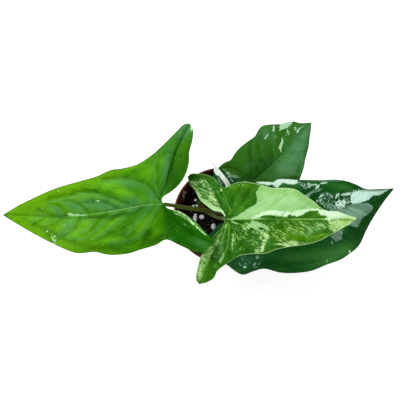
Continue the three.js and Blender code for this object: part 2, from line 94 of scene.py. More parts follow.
# Blades. `at` is where the stalk meets the blade, `heading` the way to the tip in degrees, `rise`
# how much higher the tip is, `arch` the midrib's arch and `sinus` the notch between the lobes.
# `grow` is how far the outline lies outside the CAD model's, `point` the same for the tip. Each
# half: its edge from the tip round to the lobe's end, the lobe's rib, its inner edge, the number
# of the edge's point that lies across from the stalk (shoulder), how much higher the lobe's end
# is, slopes across it, and the wave of its edge (height, count, phase).
SHAPES = {}
SHAPES["left"] = {
    "at": (-43, 10, 172), "heading": 184, "rise": -20, "arch": 5, "sinus": (-1, 0.5), "grow": 0.45,
    "point": 1.2,
    "midrib": [(114, 0), (71.5, 4), (36, 2.5), (12, 0), (0, 0)],
    "halves": [{
        "edge": [(114, 0), (98, 10.5), (88.5, 16), (79, 21), (69.5, 25.5), (60, 29), (48.5, 29),
                 (39, 31.5), (26, 31.5), (17.5, 29.5), (6.5, 27), (-0.5, 24), (-9, 28), (-19, 33),
                 (-26.5, 33.5), (-31, 29)],
        "rib": [(0, 0), (-2, 4.5), (-6, 9.5), (-12, 15.5), (-20, 22), (-31, 29)],
        "inner": [(-2.5, 2.5), (-5, 4), (-10.5, 5.5), (-16, 9), (-20.5, 12.5), (-26.5, 19.5),
                  (-31, 25.5), (-31, 29)],
        "shoulder": 9, "rise": -2, "fold": 0.12, "curl": 0.16, "inner_fold": 0.05,
        "wave": (1.4, 3.5, 0.2),
    }, {
        "edge": [(114, 0), (102, -5.5), (90.5, -9.5), (74, -15), (58, -18.5), (43.5, -21.5),
                 (33.5, -25), (26, -25.5), (16, -27.5), (6, -33), (-3, -40), (-12, -48), (-18.5, -53.5),
                 (-22, -54)],
        "rib": [(0, 0), (1.5, -4), (-1.5, -9.5), (-6, -20.5), (-11, -35), (-22, -54)],
        "inner": [(0.5, -2.5), (-1, -5), (-5.5, -7.5), (-11.5, -12), (-16.5, -18.5), (-19.5, -26.5),
                  (-20.5, -34.5), (-23, -42), (-24, -49), (-22, -54)],
        "shoulder": 7, "rise": -10, "fold": 0.12, "curl": 0.16, "inner_fold": 0.1,
        "wave": (1.2, 3, 0.6),
    }],
}
SHAPES["centre"] = {
    "at": (0, -0.5, 165), "heading": 0, "rise": -14, "arch": 3, "sinus": (-0.8, 0.2), "grow": 0.1,
    "point": 0,
    "midrib": [(94, 0.5), (66, 0), (30.5, 0), (0, 0)],
    "halves": [{
        "edge": [(94, 0.5), (86.5, 2.5), (79.5, 5), (72.5, 5.5), (67, 7.5), (61.5, 12), (55, 16),
                 (48, 20.5), (40.5, 21.5), (32.5, 21.5), (24.5, 23.5), (15, 25.5), (7, 25), (2.5, 23),
                 (-0.5, 22), (-4.5, 24.5), (-7.5, 28), (-12, 30.5), (-18, 31.5), (-24, 31.5),
                 (-26.5, 29.5)],
        "rib": [(0, 0), (-1.5, 6.5), (-5, 12.5), (-10.5, 18.5), (-18, 25), (-26.5, 29.5)],
        "inner": [(-1.2, 2.6), (-3, 4.6), (-8.5, 6), (-13.5, 9.5), (-17.5, 13), (-21, 19.5),
                  (-24.5, 23.5), (-26.5, 29.5)],
        "shoulder": 11, "rise": -10, "fold": 0.1, "curl": 0.14, "inner_fold": -0.1, "wave": (1.2, 4, 0),
    }, {
        "edge": [(94, 0.5), (88.5, -3.5), (82.5, -6.5), (73.5, -11), (65, -15), (56.5, -17.5),
                 (45, -19), (34.5, -21), (27.5, -23.5), (18.5, -24), (10, -25.5), (2, -30.5),
                 (-5.5, -36.5), (-8, -42), (-12.5, -45.5), (-18.5, -47.5)],
        "rib": [(0, 0), (-1, -6), (-3.5, -14), (-8, -24.5), (-13.5, -37.5), (-18.5, -47.5)],
        "inner": [(-1.2, -3), (-5, -8.5), (-10.5, -14.5), (-13.5, -20), (-17, -26.5), (-19.5, -35.5),
                  (-20.5, -44), (-18.5, -47.5)],
        "shoulder": 9, "rise": -20, "fold": 0.1, "curl": 0.14, "inner_fold": -0.1,
        "wave": (1.2, 3.5, 0.4),
    }],
}
SHAPES["right"] = {
    "at": (12.5, -2.5, 128), "heading": 11, "rise": -12, "arch": 4, "sinus": (-1, 0.5), "grow": 0.35,
    "point": 0.6,
    "midrib": [(121, 1), (104, -4.5), (83.5, -6), (52, -5), (22, -2), (0, 0)],
    "halves": [{
        "edge": [(121, 1), (109.5, 2.5), (98.5, 4.5), (91.5, 9), (84.5, 13), (75.5, 16), (63.5, 18),
                 (49.5, 21), (37.5, 24), (21.5, 25), (10.5, 27), (4.5, 31.5), (-3, 36), (-8, 41.5),
                 (-12, 40.5)],
        "rib": [(0, 0), (-0.5, 12), (-4.5, 25), (-12, 40.5)],
        "inner": [(-1.5, 7), (-4.5, 15), (-10.5, 24), (-14, 32.5), (-12, 40.5)],
        "shoulder": 9, "rise": -12, "fold": 0.02, "curl": 0.05, "inner_fold": -0.05,
        "wave": (1, 3, 0.3),
    }, {
        "edge": [(121, 1), (112, -6), (104.5, -12.7), (97.7, -19.6), (91.3, -27), (84.2, -35.6),
                 (76, -40.3), (69, -43.5), (57.5, -45.5), (47, -47.5), (35, -47), (22.5, -44.5),
                 (11, -39.5), (3, -40), (-5.5, -41), (-10.5, -37.5), (-16, -31.5), (-25, -26),
                 (-32.5, -21.5), (-40, -16)],
        "rib": [(0, 0), (-10, -7), (-22.5, -13), (-40, -16)],
        "inner": [(-7.5, 0.5), (-15, 0.5), (-20.5, -3), (-26, -7.5), (-34, -11.5), (-40, -16)],
        "shoulder": 11, "rise": -14, "fold": 0.05, "curl": 0.16, "inner_fold": -0.05,
        "wave": (1.5, 4, 0.1),
    }],
}
SHAPES["back"] = {
    "at": (24.5, 27.5, 108), "heading": 45, "rise": -4, "arch": 3, "sinus": (-1, 0), "grow": 0.3,
    "point": 0,
    "midrib": [(65, 0.5), (55, 0.5), (44, 0), (32, -1), (16.5, -1), (0, 0)],
    "halves": [{
        "edge": [(65, 0.5), (58, 6), (54.5, 11), (49.5, 14.5), (45, 17), (39, 22.5), (34.5, 25.5),
                 (30, 25.5), (25, 24), (18.5, 25), (10.5, 26), (4.5, 25.5), (-1, 24.5), (-6.5, 26.5),
                 (-13.5, 27)],
        "rib": [(0, 0), (-2, 11.5), (-5.5, 20.5), (-13.5, 27)],
        "inner": [(-7, 1.5), (-12.5, 8), (-14.5, 17), (-13.5, 27)],
        "shoulder": 8, "rise": -8, "fold": 0.2, "curl": 0.14, "inner_fold": -0.05, "wave": (1, 3, 0.5),
    }, {
        "edge": [(65, 0.5), (59.5, -3), (54, -6.5), (48, -11), (40, -15.5), (32.5, -20), (26, -23),
                 (19, -26.5), (10.5, -29), (0, -27.5)],
        "rib": [(0, 0), (-0.5, -9.5), (-1, -19), (0, -27.5)],
        "inner": [(-3.5, -6.5), (-5.5, -14.5), (-4.5, -23), (0, -27.5)],
        "shoulder": 6, "rise": -6, "fold": 0.24, "curl": 0.06, "inner_fold": 0.05, "wave": (0.8, 2, 0),
    }],
}

# ------------------------------------------------------------------ marks on the leaves
#
# VIEW is the view from straight above: where its eye is in millimetres, how many pixels a
# millimetre takes up at a distance of one millimetre, and its middle. MARKS holds, for each
# leaf, what the eye reads in that view, in pixels: lateral veins, light rays, the outlines of
# pale, light and green patches, a scratch, flecked areas, each with a density, and soft ovals
# (x, y, half length, half width, turn in degrees, strength): sheen, a bluish painted
# highlight, warm and bright green, and dark green that is partly the leaf's own and partly
# painted shade.
VIEW = {"x": -17.7, "y": 12.7, "z": 590, "reach": 617, "middle": 200}

MARKS = {}
MARKS["left"] = {
    "veins": [
        [(163, 204), (157, 197), (151, 189), (145, 184.5), (135, 180.5), (125, 178.7), (115, 178.7),
         (105, 180)],
        [(140, 207.3), (132, 206.3), (124, 203.5), (116, 200), (108, 196.5), (100, 194), (90, 191.6),
         (82, 192), (70, 196), (60, 198), (50, 200)],
        [(118, 209.8), (111, 206), (104, 203.2), (96, 202.4), (88, 203)],
        [(87, 214.3), (84, 210), (80, 206), (76, 203.5), (71, 201.5), (64, 201)],
        [(64, 215.8), (61, 209.5), (57, 206), (51, 204.5)],
        [(50, 216.2), (45, 212.6), (40, 211.5)],
        [(161, 206.5), (156, 213), (151, 222), (147, 230), (141, 237), (132, 242), (122, 244),
         (112, 245)],
        [(152, 206.2), (147, 213), (141, 221), (134, 230), (127, 236)],
        [(140, 208), (132, 214), (124, 220), (117, 226), (110, 231.5), (100, 238), (88, 240.3),
         (75, 240.5), (63, 238)],
        [(122, 210.2), (113, 217), (104, 225), (96, 232), (88, 236)],
        [(104, 212.8), (98, 218.5), (92, 226), (88, 231), (82, 234)],
        [(79, 216), (77, 220), (74, 226), (69, 230.5), (64, 234), (58, 237)],
        [(62, 217), (58, 220), (52, 223.6), (46, 225)],
        [(44, 217), (39, 220), (34, 222)],
        [(163, 200), (158, 190), (156.5, 178), (156, 165), (158, 156)],
        [(165, 196), (166.5, 184), (168, 172), (169, 160)],
        [(174.7, 152), (168, 150), (163, 153)],
        [(181, 137), (177, 138), (173, 142)],
        [(175, 214), (172, 222), (170, 230), (166, 236)],
    ],
    "pale": [
        [(67.8, 214), (69, 212.9), (72, 213.2), (74.2, 214.4), (76.3, 214), (78, 214), (79, 214.8),
         (85, 214.5), (88, 214.6), (88, 215.3), (82, 215.8), (76, 215.7), (72, 216), (68.3, 215.5)],
        [(185.6, 214.6), (189, 217.8), (192, 221.4), (196, 225.6), (200, 229.2), (204, 232.6),
         (207, 236), (203, 233.4), (198.6, 229.6), (194.4, 226), (190.6, 222.6), (187.6, 218.6)],
        [(172.5, 209.2), (176, 210), (181, 211.4), (185, 213.9), (184.3, 214.6), (180, 212.6),
         (176, 211.2)],
        [(174, 212.3), (177, 213.5), (178, 215), (175.5, 214.6)],
        [(96, 200.6), (99.5, 200.3), (100, 201.3), (96.5, 201.5)],
        [(52, 237), (53, 237), (53.4, 240.5), (52.4, 241)],
        [(54.3, 235), (55, 235), (55.2, 237), (54.5, 237)],
        [(55, 240), (56, 240), (56, 242), (55, 242)],
        [(53, 242.8), (54.2, 243), (54, 244), (53, 244)],
        [(58, 190.4), (59, 190.4), (59, 192), (58.2, 192)],
        [(42, 207.6), (42.8, 207.6), (42.8, 209.4), (42.1, 209.4)],
        [(64, 223.8), (64.8, 223.8), (64.8, 226), (64.1, 226)],
        [(46.5, 230.5), (48, 230.8), (47.8, 232), (46.6, 232)],
        [(190.5, 127), (191.5, 127), (192.3, 131), (191.3, 131.5)],
    ],
    "flecks": [
        (0.34, [(172, 209), (182, 210), (190, 217), (200, 229), (196, 229), (186, 220), (176, 213)]),
        (0.16, [(170, 214), (182, 218), (190, 228), (182, 226)]),
        (0.3, [(50, 233), (55, 233), (56, 244), (52, 243)]),
    ],
    "sheen": [
        (104, 205.5, 20, 5.5, 8, 1), (187, 129, 5, 6, 30, 1), (178, 140, 3, 10, 35, 0.5),
        (136, 203, 11, 5, 14, 0.9), (128, 183.5, 11, 4, 12, 0.7), (57, 211, 6, 4, 35, 0.9),
        (74, 207, 9, 4.5, 25, 0.9), (69, 224, 7, 7, 110, 0.8), (152, 196, 6, 5, 50, 0.6),
        (167, 164, 4, 17, 12, 0.9), (184, 131, 4, 9, 30, 1), (200, 243, 8, 4, 20, 0.5),
        (62, 235, 7, 2.5, -25, 0.6), (88, 202, 9, 5, 0, 0.6), (84, 218.5, 5, 2, 0, 0.7),
        (184, 131, 7, 9, 30, 0.6), (168, 240, 5, 2, -20, 0.6), (129, 208, 8, 2, 8, 0.6),
        (47, 231, 3, 2, 0, 0.6),
    ],
    "warm": [
        (22, 213, 18, 12, 0, 0.9), (62, 190, 26, 5, -12, 0.8), (105, 175, 18, 4, -15, 0.8),
        (96, 247, 20, 4, 4, 0.8), (150, 222, 5, 10, 30, 0.7), (38, 226, 14, 8, 25, 0.7),
        (145, 240, 14, 5, -20, 0.6), (140, 163, 14, 3, -25, 0.4), (184, 155, 3, 14, 10, 0.6),
        (158, 232, 6, 5, 0, 0.4),
    ],
    "bright": [
        (110, 184, 14, 3.5, -8, 0.9), (122, 192, 12, 4, 20, 0.8), (80, 198, 12, 3, -8, 0.8),
        (86, 226, 8, 4, -40, 0.8), (112, 222, 22, 3, -37, 0.9), (75, 233, 12, 3.5, -25, 0.8),
        (112, 240, 18, 2.6, -6, 0.9), (140, 226, 5, 9, 35, 0.8), (150, 172, 8, 8, 0, 0.7),
        (48, 210, 12, 4, 0, 0.6), (38, 220, 10, 4, 10, 0.6), (60, 244, 12, 2, 12, 0.6),
        (178, 140, 3, 12, 35, 0.7), (132, 167, 8, 2, -10, 0.7), (160, 160, 6, 6, 0, 0.5),
    ],
    "dark": [
        (100, 247.6, 28, 3.4, 4, 0.6), (152, 240.5, 11, 4, -22, 0.6), (45, 229, 22, 2.4, 24, 0.4),
        (128, 240, 16, 7, -12, 0.4), (184, 165, 5, 16, 22, 0.8), (185, 152, 4, 14, 16, 0.4),
        (170, 216, 6, 9, 0, 1), (190, 246, 12, 4, 15, 0.5), (184, 222, 7, 4, 45, 0.7),
        (178, 183, 7, 10, -40, 0.8), (160, 236, 8, 3, -20, 0.5), (177, 182, 5, 12, 22, 0.6),
        (166, 206, 4, 2, 0, 0.8), (148, 236, 10, 3, -55, 0.9), (176, 186, 7, 4, -45, 1),
        (172, 172, 3, 10, 20, 0.9), (182, 160, 5, 18, 22, 0.45), (172, 222, 8, 10, 0, 0.7),
        (120, 215, 18, 2.2, -12, 1), (95, 217, 12, 1.6, -4, 1), (60, 217, 10, 1.4, -2, 0.7),
        (140, 208, 8, 1.5, -10, 0.6), (190, 232, 6, 5, 30, 0.5), (51, 235.5, 5, 2, 10, 0.7),
        (52, 242, 4, 1.4, 20, 0.7), (6, 215, 3, 3, 0, 0.6), (128, 224, 14, 2, -40, 0.5),
        (92, 190, 7, 1.2, 0, 0.5), (88, 192, 10, 1.3, 3, 0.5),
    ],
}
MARKS["centre"] = {
    "veins": [
        [(240, 218.6), (252, 213), (262, 207), (270, 200), (276, 192), (280, 186)],
        [(256, 218.6), (268, 211.5), (279, 204), (288, 196), (294, 188)],
        [(273, 218.6), (284, 212), (295, 206), (304, 198), (308, 192)],
        [(290, 218.6), (300, 213), (310, 207), (317, 201)],
        [(306, 218.8), (315, 214), (324, 210)],
        [(322, 219), (332, 215.5), (342, 213)],
        [(232, 217), (240, 207), (247, 197), (252, 188), (258, 183)],
        [(228, 216), (233, 204), (238, 193), (243, 186)],
        [(237, 219.6), (246, 226), (256, 234), (264, 243), (268, 249)],
        [(252, 219.6), (264, 225), (276, 232), (286, 240), (291, 245)],
        [(270, 219.8), (283, 225), (296, 231), (306, 238), (309, 242)],
        [(288, 219.8), (300, 225), (312, 230), (322, 236)],
        [(305, 219.6), (316, 224), (327, 229), (334, 233)],
        [(322, 219.6), (331, 223), (341, 227)],
        [(230, 222), (238, 233), (244, 244), (249, 254)],
        [(224, 211), (215, 203), (206, 197), (198, 193)],
        [(222, 206), (221, 196), (224, 189)],
        [(212, 193), (207, 188), (199, 184), (192, 183)],
        [(225, 230), (216, 238), (208, 248), (202, 260), (199, 272)],
        [(222, 240), (232, 247), (236, 255)],
        [(214, 254), (222, 258), (222, 264)],
    ],
    "rays": [
        [(227.2, 222.6), (226, 228), (223.8, 235), (221.4, 243)],
        [(228.8, 229), (228.6, 238), (227.6, 246), (226, 252)],
        [(229.2, 224), (229, 228), (228.8, 230.6)],
        [(233.2, 233.6), (232.8, 240), (232.2, 250)],
        [(230.6, 220.8), (235, 222.4), (239.6, 223.8)],
        [(241, 224.6), (244, 226.2), (246.6, 228.6)],
        [(234.6, 231), (237, 236), (240.6, 240)],
        [(229.4, 206), (230, 210), (229, 214)],
        [(224, 226), (222, 231), (219, 236)],
    ],
    "pale": [
        [(196.4, 192.4), (199, 195.6), (202, 198), (205, 200.2), (208, 201.4), (211, 203.4),
         (214, 205.6), (217.6, 206.2), (220, 207.6), (222.6, 210.4), (225.4, 216), (222, 214.4),
         (216, 212), (211, 209.6), (206.6, 206.4), (203, 203), (199.6, 200.4), (197, 196)],
        [(255, 216), (258, 214.6), (262, 211.6), (268, 210.6), (275, 210), (281, 211.4), (286, 211),
         (291, 212.6), (298, 210), (305, 209.2), (312, 208.4), (318, 208), (318, 210.4), (311, 210.6),
         (306, 212), (302, 215), (296, 216.5), (291, 217.6), (285, 216.2), (281, 215.9), (276, 215.2),
         (269, 214.8), (264, 215.4), (259, 217.2), (252, 218.6), (246, 218.8)],
        [(317, 208.4), (325, 210.4), (335, 210.8), (342, 211.6), (350, 215.4), (358, 215.8),
         (361, 219.5), (357, 221.4), (350, 218.8), (340, 218.6), (333, 220), (326, 220), (321, 218.8),
         (328, 217.4), (325, 215.4), (320, 214.6), (318.6, 212)],
        [(357, 221.4), (353, 224.4), (346, 228.8), (338, 231.2), (333, 231), (339, 228.6), (346, 225.4),
         (351, 222)],
    ],
    "light": [
        [(229, 219.4), (236, 216.6), (241, 213.4), (245, 210.6), (249, 208), (253, 205.6), (256, 203.6),
         (257.3, 201), (256.4, 198.4), (256.8, 195.6), (256, 192), (257.6, 189.6), (259, 187),
         (262, 184), (285, 180), (300, 184), (318, 195), (324, 206), (322, 208.4), (312, 208.8),
         (305, 210), (296, 212.6), (288, 216.5), (280, 218), (262, 218.6), (245, 219), (236, 219.2)],
        [(334, 222.6), (338, 221.4), (345, 221.6), (352, 220.6), (350, 225), (345, 228), (338, 229.6),
         (335, 229), (337, 225.6), (335, 224)],
        [(232.2, 234.6), (233.6, 234.4), (233.6, 241), (232.8, 246), (232.2, 247.6), (231.8, 242)],
        [(231, 220.6), (235, 222), (238, 224), (236, 224), (232.4, 222.6)],
        [(241.6, 225.2), (243.4, 225.8), (246, 228.2), (245, 229.2), (242.6, 227.2)],
        [(225, 224.4), (227, 224.4), (226, 227.6), (224.6, 229.4)],
        [(251, 223.8), (250.6, 221.4), (252.6, 220.2), (255, 221.6), (260, 222.6), (264, 225),
         (268, 226.8), (270, 229.6), (268, 231.6), (266, 230), (263.4, 227.6), (261, 226.6),
         (258.4, 228.2), (262, 231), (264, 233.4), (261.4, 233.4), (257.6, 230.4), (254, 229.4),
         (250.6, 228), (248, 229), (246, 228), (248, 225.6), (245, 223), (247.6, 223.2)],
    ],
    "green": [
        [(258.5, 218), (261.5, 216), (265, 215.2), (270, 215), (275, 215.8), (280, 216.2), (284, 217.3),
         (287, 218.6), (280, 218.4), (268, 218.6)],
        [(297, 218.4), (301, 216.4), (305, 214), (308.4, 212), (312, 210.9), (316, 211.3),
         (317.8, 213.6), (319, 215.6), (323, 216.2), (327, 217.4), (323, 218.6), (316, 218.2),
         (308, 218.4)],
        [(287, 217.6), (288, 215), (290.4, 214), (292, 215.6), (294.4, 215), (296, 217), (293, 217.8)],
        [(250, 228.6), (252, 227.8), (254.4, 229), (252.4, 230)],
        [(258.4, 228.2), (261, 227.6), (263.6, 228.8), (261, 229.6)],
        [(261.4, 236.6), (263.4, 236), (265.2, 237.4), (264.6, 239.4), (262.4, 239)],
    ],
    "scratch": [
        [(285.8, 211.2), (283.6, 213.2), (281.6, 216.2)],
    ],
    "flecks": [
        (0.44, [(189, 180), (196, 177.6), (204, 178.5), (209, 182), (213, 188), (215, 193), (217, 200),
                (218, 204), (214, 203), (208, 199.5), (202, 197.5), (198, 194), (193, 188.5),
                (190, 184)]),
        (0.62, [(190.6, 183), (195, 186), (200, 191), (204, 197.6), (198, 194.6), (193, 188.5)]),
        (0.5, [(195, 190), (204, 195), (214, 202), (210, 206), (200, 200.6), (196, 195)]),
        (0.62, [(211, 190), (214, 194), (217, 200), (220.6, 207), (215, 205.6), (209, 202),
                (206, 197)]),
        (0.35, [(213, 175.6), (218, 180), (221, 186), (216, 184), (212, 178)]),
        (0.8, [(219, 186.5), (221.6, 187), (223, 191), (220.6, 191.6)]),
        (0.36, [(217, 190), (221, 195), (226, 199), (229, 205), (226, 206), (221, 200), (217, 195)]),
        (0.42, [(223, 193), (226, 195.6), (227, 199.6), (224.6, 198)]),
        (0.32, [(222, 186), (230, 184.4), (240, 184), (246, 184.6), (240, 186.6), (230, 188)]),
        (0.28, [(240, 224), (262, 222), (270, 224), (272, 240), (262, 246), (250, 246), (240, 236),
                (234, 228)]),
        (0.31, [(268, 222), (290, 221), (292, 232), (290, 243), (276, 243), (270, 236)]),
        (0.74, [(262, 231), (266.6, 231.6), (269.6, 236), (271.6, 238), (268, 240), (264.6, 246),
                (264, 251), (258, 254), (253, 252), (257, 246.6), (261, 245), (262, 240), (258, 238),
                (261.4, 235)]),
        (0.7, [(272, 244), (290, 240.4), (298, 240.2), (308, 243), (295, 246.6), (284, 246.6)]),
        (0.8, [(278, 229.6), (281, 230), (285.6, 234.6), (284.4, 235.4)]),
        (0.8, [(271, 232.6), (274, 234), (279, 237.6), (277, 238.6), (272, 235.4)]),
        (0.8, [(282, 237.2), (286, 238.4), (289.6, 241.4), (285, 241)]),
        (0.38, [(288, 220.6), (304, 220.6), (308, 228), (303, 236), (292, 236)]),
        (0.4, [(303, 221), (322, 221), (334, 223), (336, 227), (322, 231), (308, 230)]),
        (0.8, [(328, 221), (340, 219), (352, 220), (351, 224), (344, 228), (336, 230), (328, 230)]),
        (0.55, [(305, 226), (310, 225), (314, 230), (312, 234), (307, 232)]),
        (0.3, [(300, 234), (318, 233), (330, 231.6), (322, 237.6), (306, 240.6)]),
        (0.3, [(216, 236), (223, 238), (224, 250), (218, 258), (213, 264), (212, 256)]),
        (0.55, [(197, 283), (196.8, 270), (198.4, 260), (201, 252), (205, 248), (213, 244), (215, 250),
                (212, 256), (209, 262), (205, 270), (202, 279)]),
        (0.5, [(213, 244), (217, 238.6), (221, 235), (222, 239), (220, 245), (216, 249)]),
        (0.62, [(217, 237), (220, 232.6), (224, 230.6), (223.4, 234), (219.6, 237.4)]),
        (0.62, [(219, 263), (220.4, 257.4), (223, 253), (225.4, 250.6), (225, 255), (222.4, 258.6),
                (220.6, 263)]),
        (0.2, [(226, 224), (234, 226), (242, 240), (246, 250), (236, 254), (229, 248)]),
        (0.5, [(213, 268), (216, 262), (219, 260), (217, 266)]),
    ],
    "sheen": [
        (262, 241, 8, 5, 0, 0.5), (317, 227, 8, 3.5, 0, 0.7), (310, 230, 4, 4, 0, 1),
        (220, 245, 4, 10, 15, 0.5), (208, 188, 7, 5, 0, 0.4), (290, 207, 8, 4, 0, 0.4),
        (303, 203, 6, 5, 0, 0.4),
    ],
    "warm": [
        (245, 188, 14, 4, 0, 0.5), (285, 236, 20, 6, 10, 0.8), (302, 224, 16, 4, 5, 0.5),
        (318, 236, 14, 3, -10, 0.9), (299, 228, 13, 6, 0, 0.7), (208, 201, 12, 4, 40, 0.4),
        (345, 222, 8, 4, -20, 0.9), (335, 227, 8, 3, 0, 0.6), (210, 270, 4, 9, 15, 0.15),
    ],
    "bright": [
        (278, 196, 16, 3, -5, 0.7), (204, 264, 5, 18, 15, 0.9), (330, 214, 14, 3, 8, 0.7),
        (282, 213, 14, 2.5, 0, 0.5), (268, 206, 14, 3, -35, 0.5), (295, 201, 4, 10, 30, 0.4),
        (238, 208, 5, 9, 25, 0.4), (330, 214, 10, 2.5, 8, 0.8), (215, 247, 5, 8, 20, 0.4),
    ],
    "dark": [
        (236, 221.6, 8, 1.6, 5, 0.9), (212, 190, 2, 13, -24, 0.9), (297, 243, 9, 3, 0, 0.5),
        (258, 250, 5, 4, 0, 0.55), (204, 201, 12, 4, 38, 0.9), (217, 206, 7, 3, 45, 0.5),
        (268, 232, 26, 9, 10, 0.3), (300, 226, 20, 5, 0, 0.25), (214, 205.5, 9, 1.6, 40, 0.5),
        (245, 196, 12, 7, -20, 0.25), (201, 177.5, 9, 2.5, 5, 0.6), (300, 225, 14, 3, 5, 0.4),
        (216, 203, 1.4, 8, -30, 0.6), (190, 176, 2.4, 4, 0, 0.9), (228, 214, 3, 4, 0, 0.4),
        (240, 233, 5, 6, 0, 0.5), (228, 240, 1.4, 14, -3, 0.5), (224, 246, 1.3, 14, 6, 0.4),
        (253, 229, 4, 1.4, 10, 0.9), (261, 229.4, 3, 0.9, 10, 0.8), (264, 248, 2, 3, 0, 0.8),
        (247, 249, 4, 8, 0, 0.4), (245, 189, 8, 1.6, 0, 0.4), (255, 203, 4, 1, -35, 0.4),
        (276, 247, 8, 1, -6, 0.6), (325, 232, 6, 1.5, -10, 0.5), (213, 262, 1.5, 12, 25, 0.5),
    ],
}
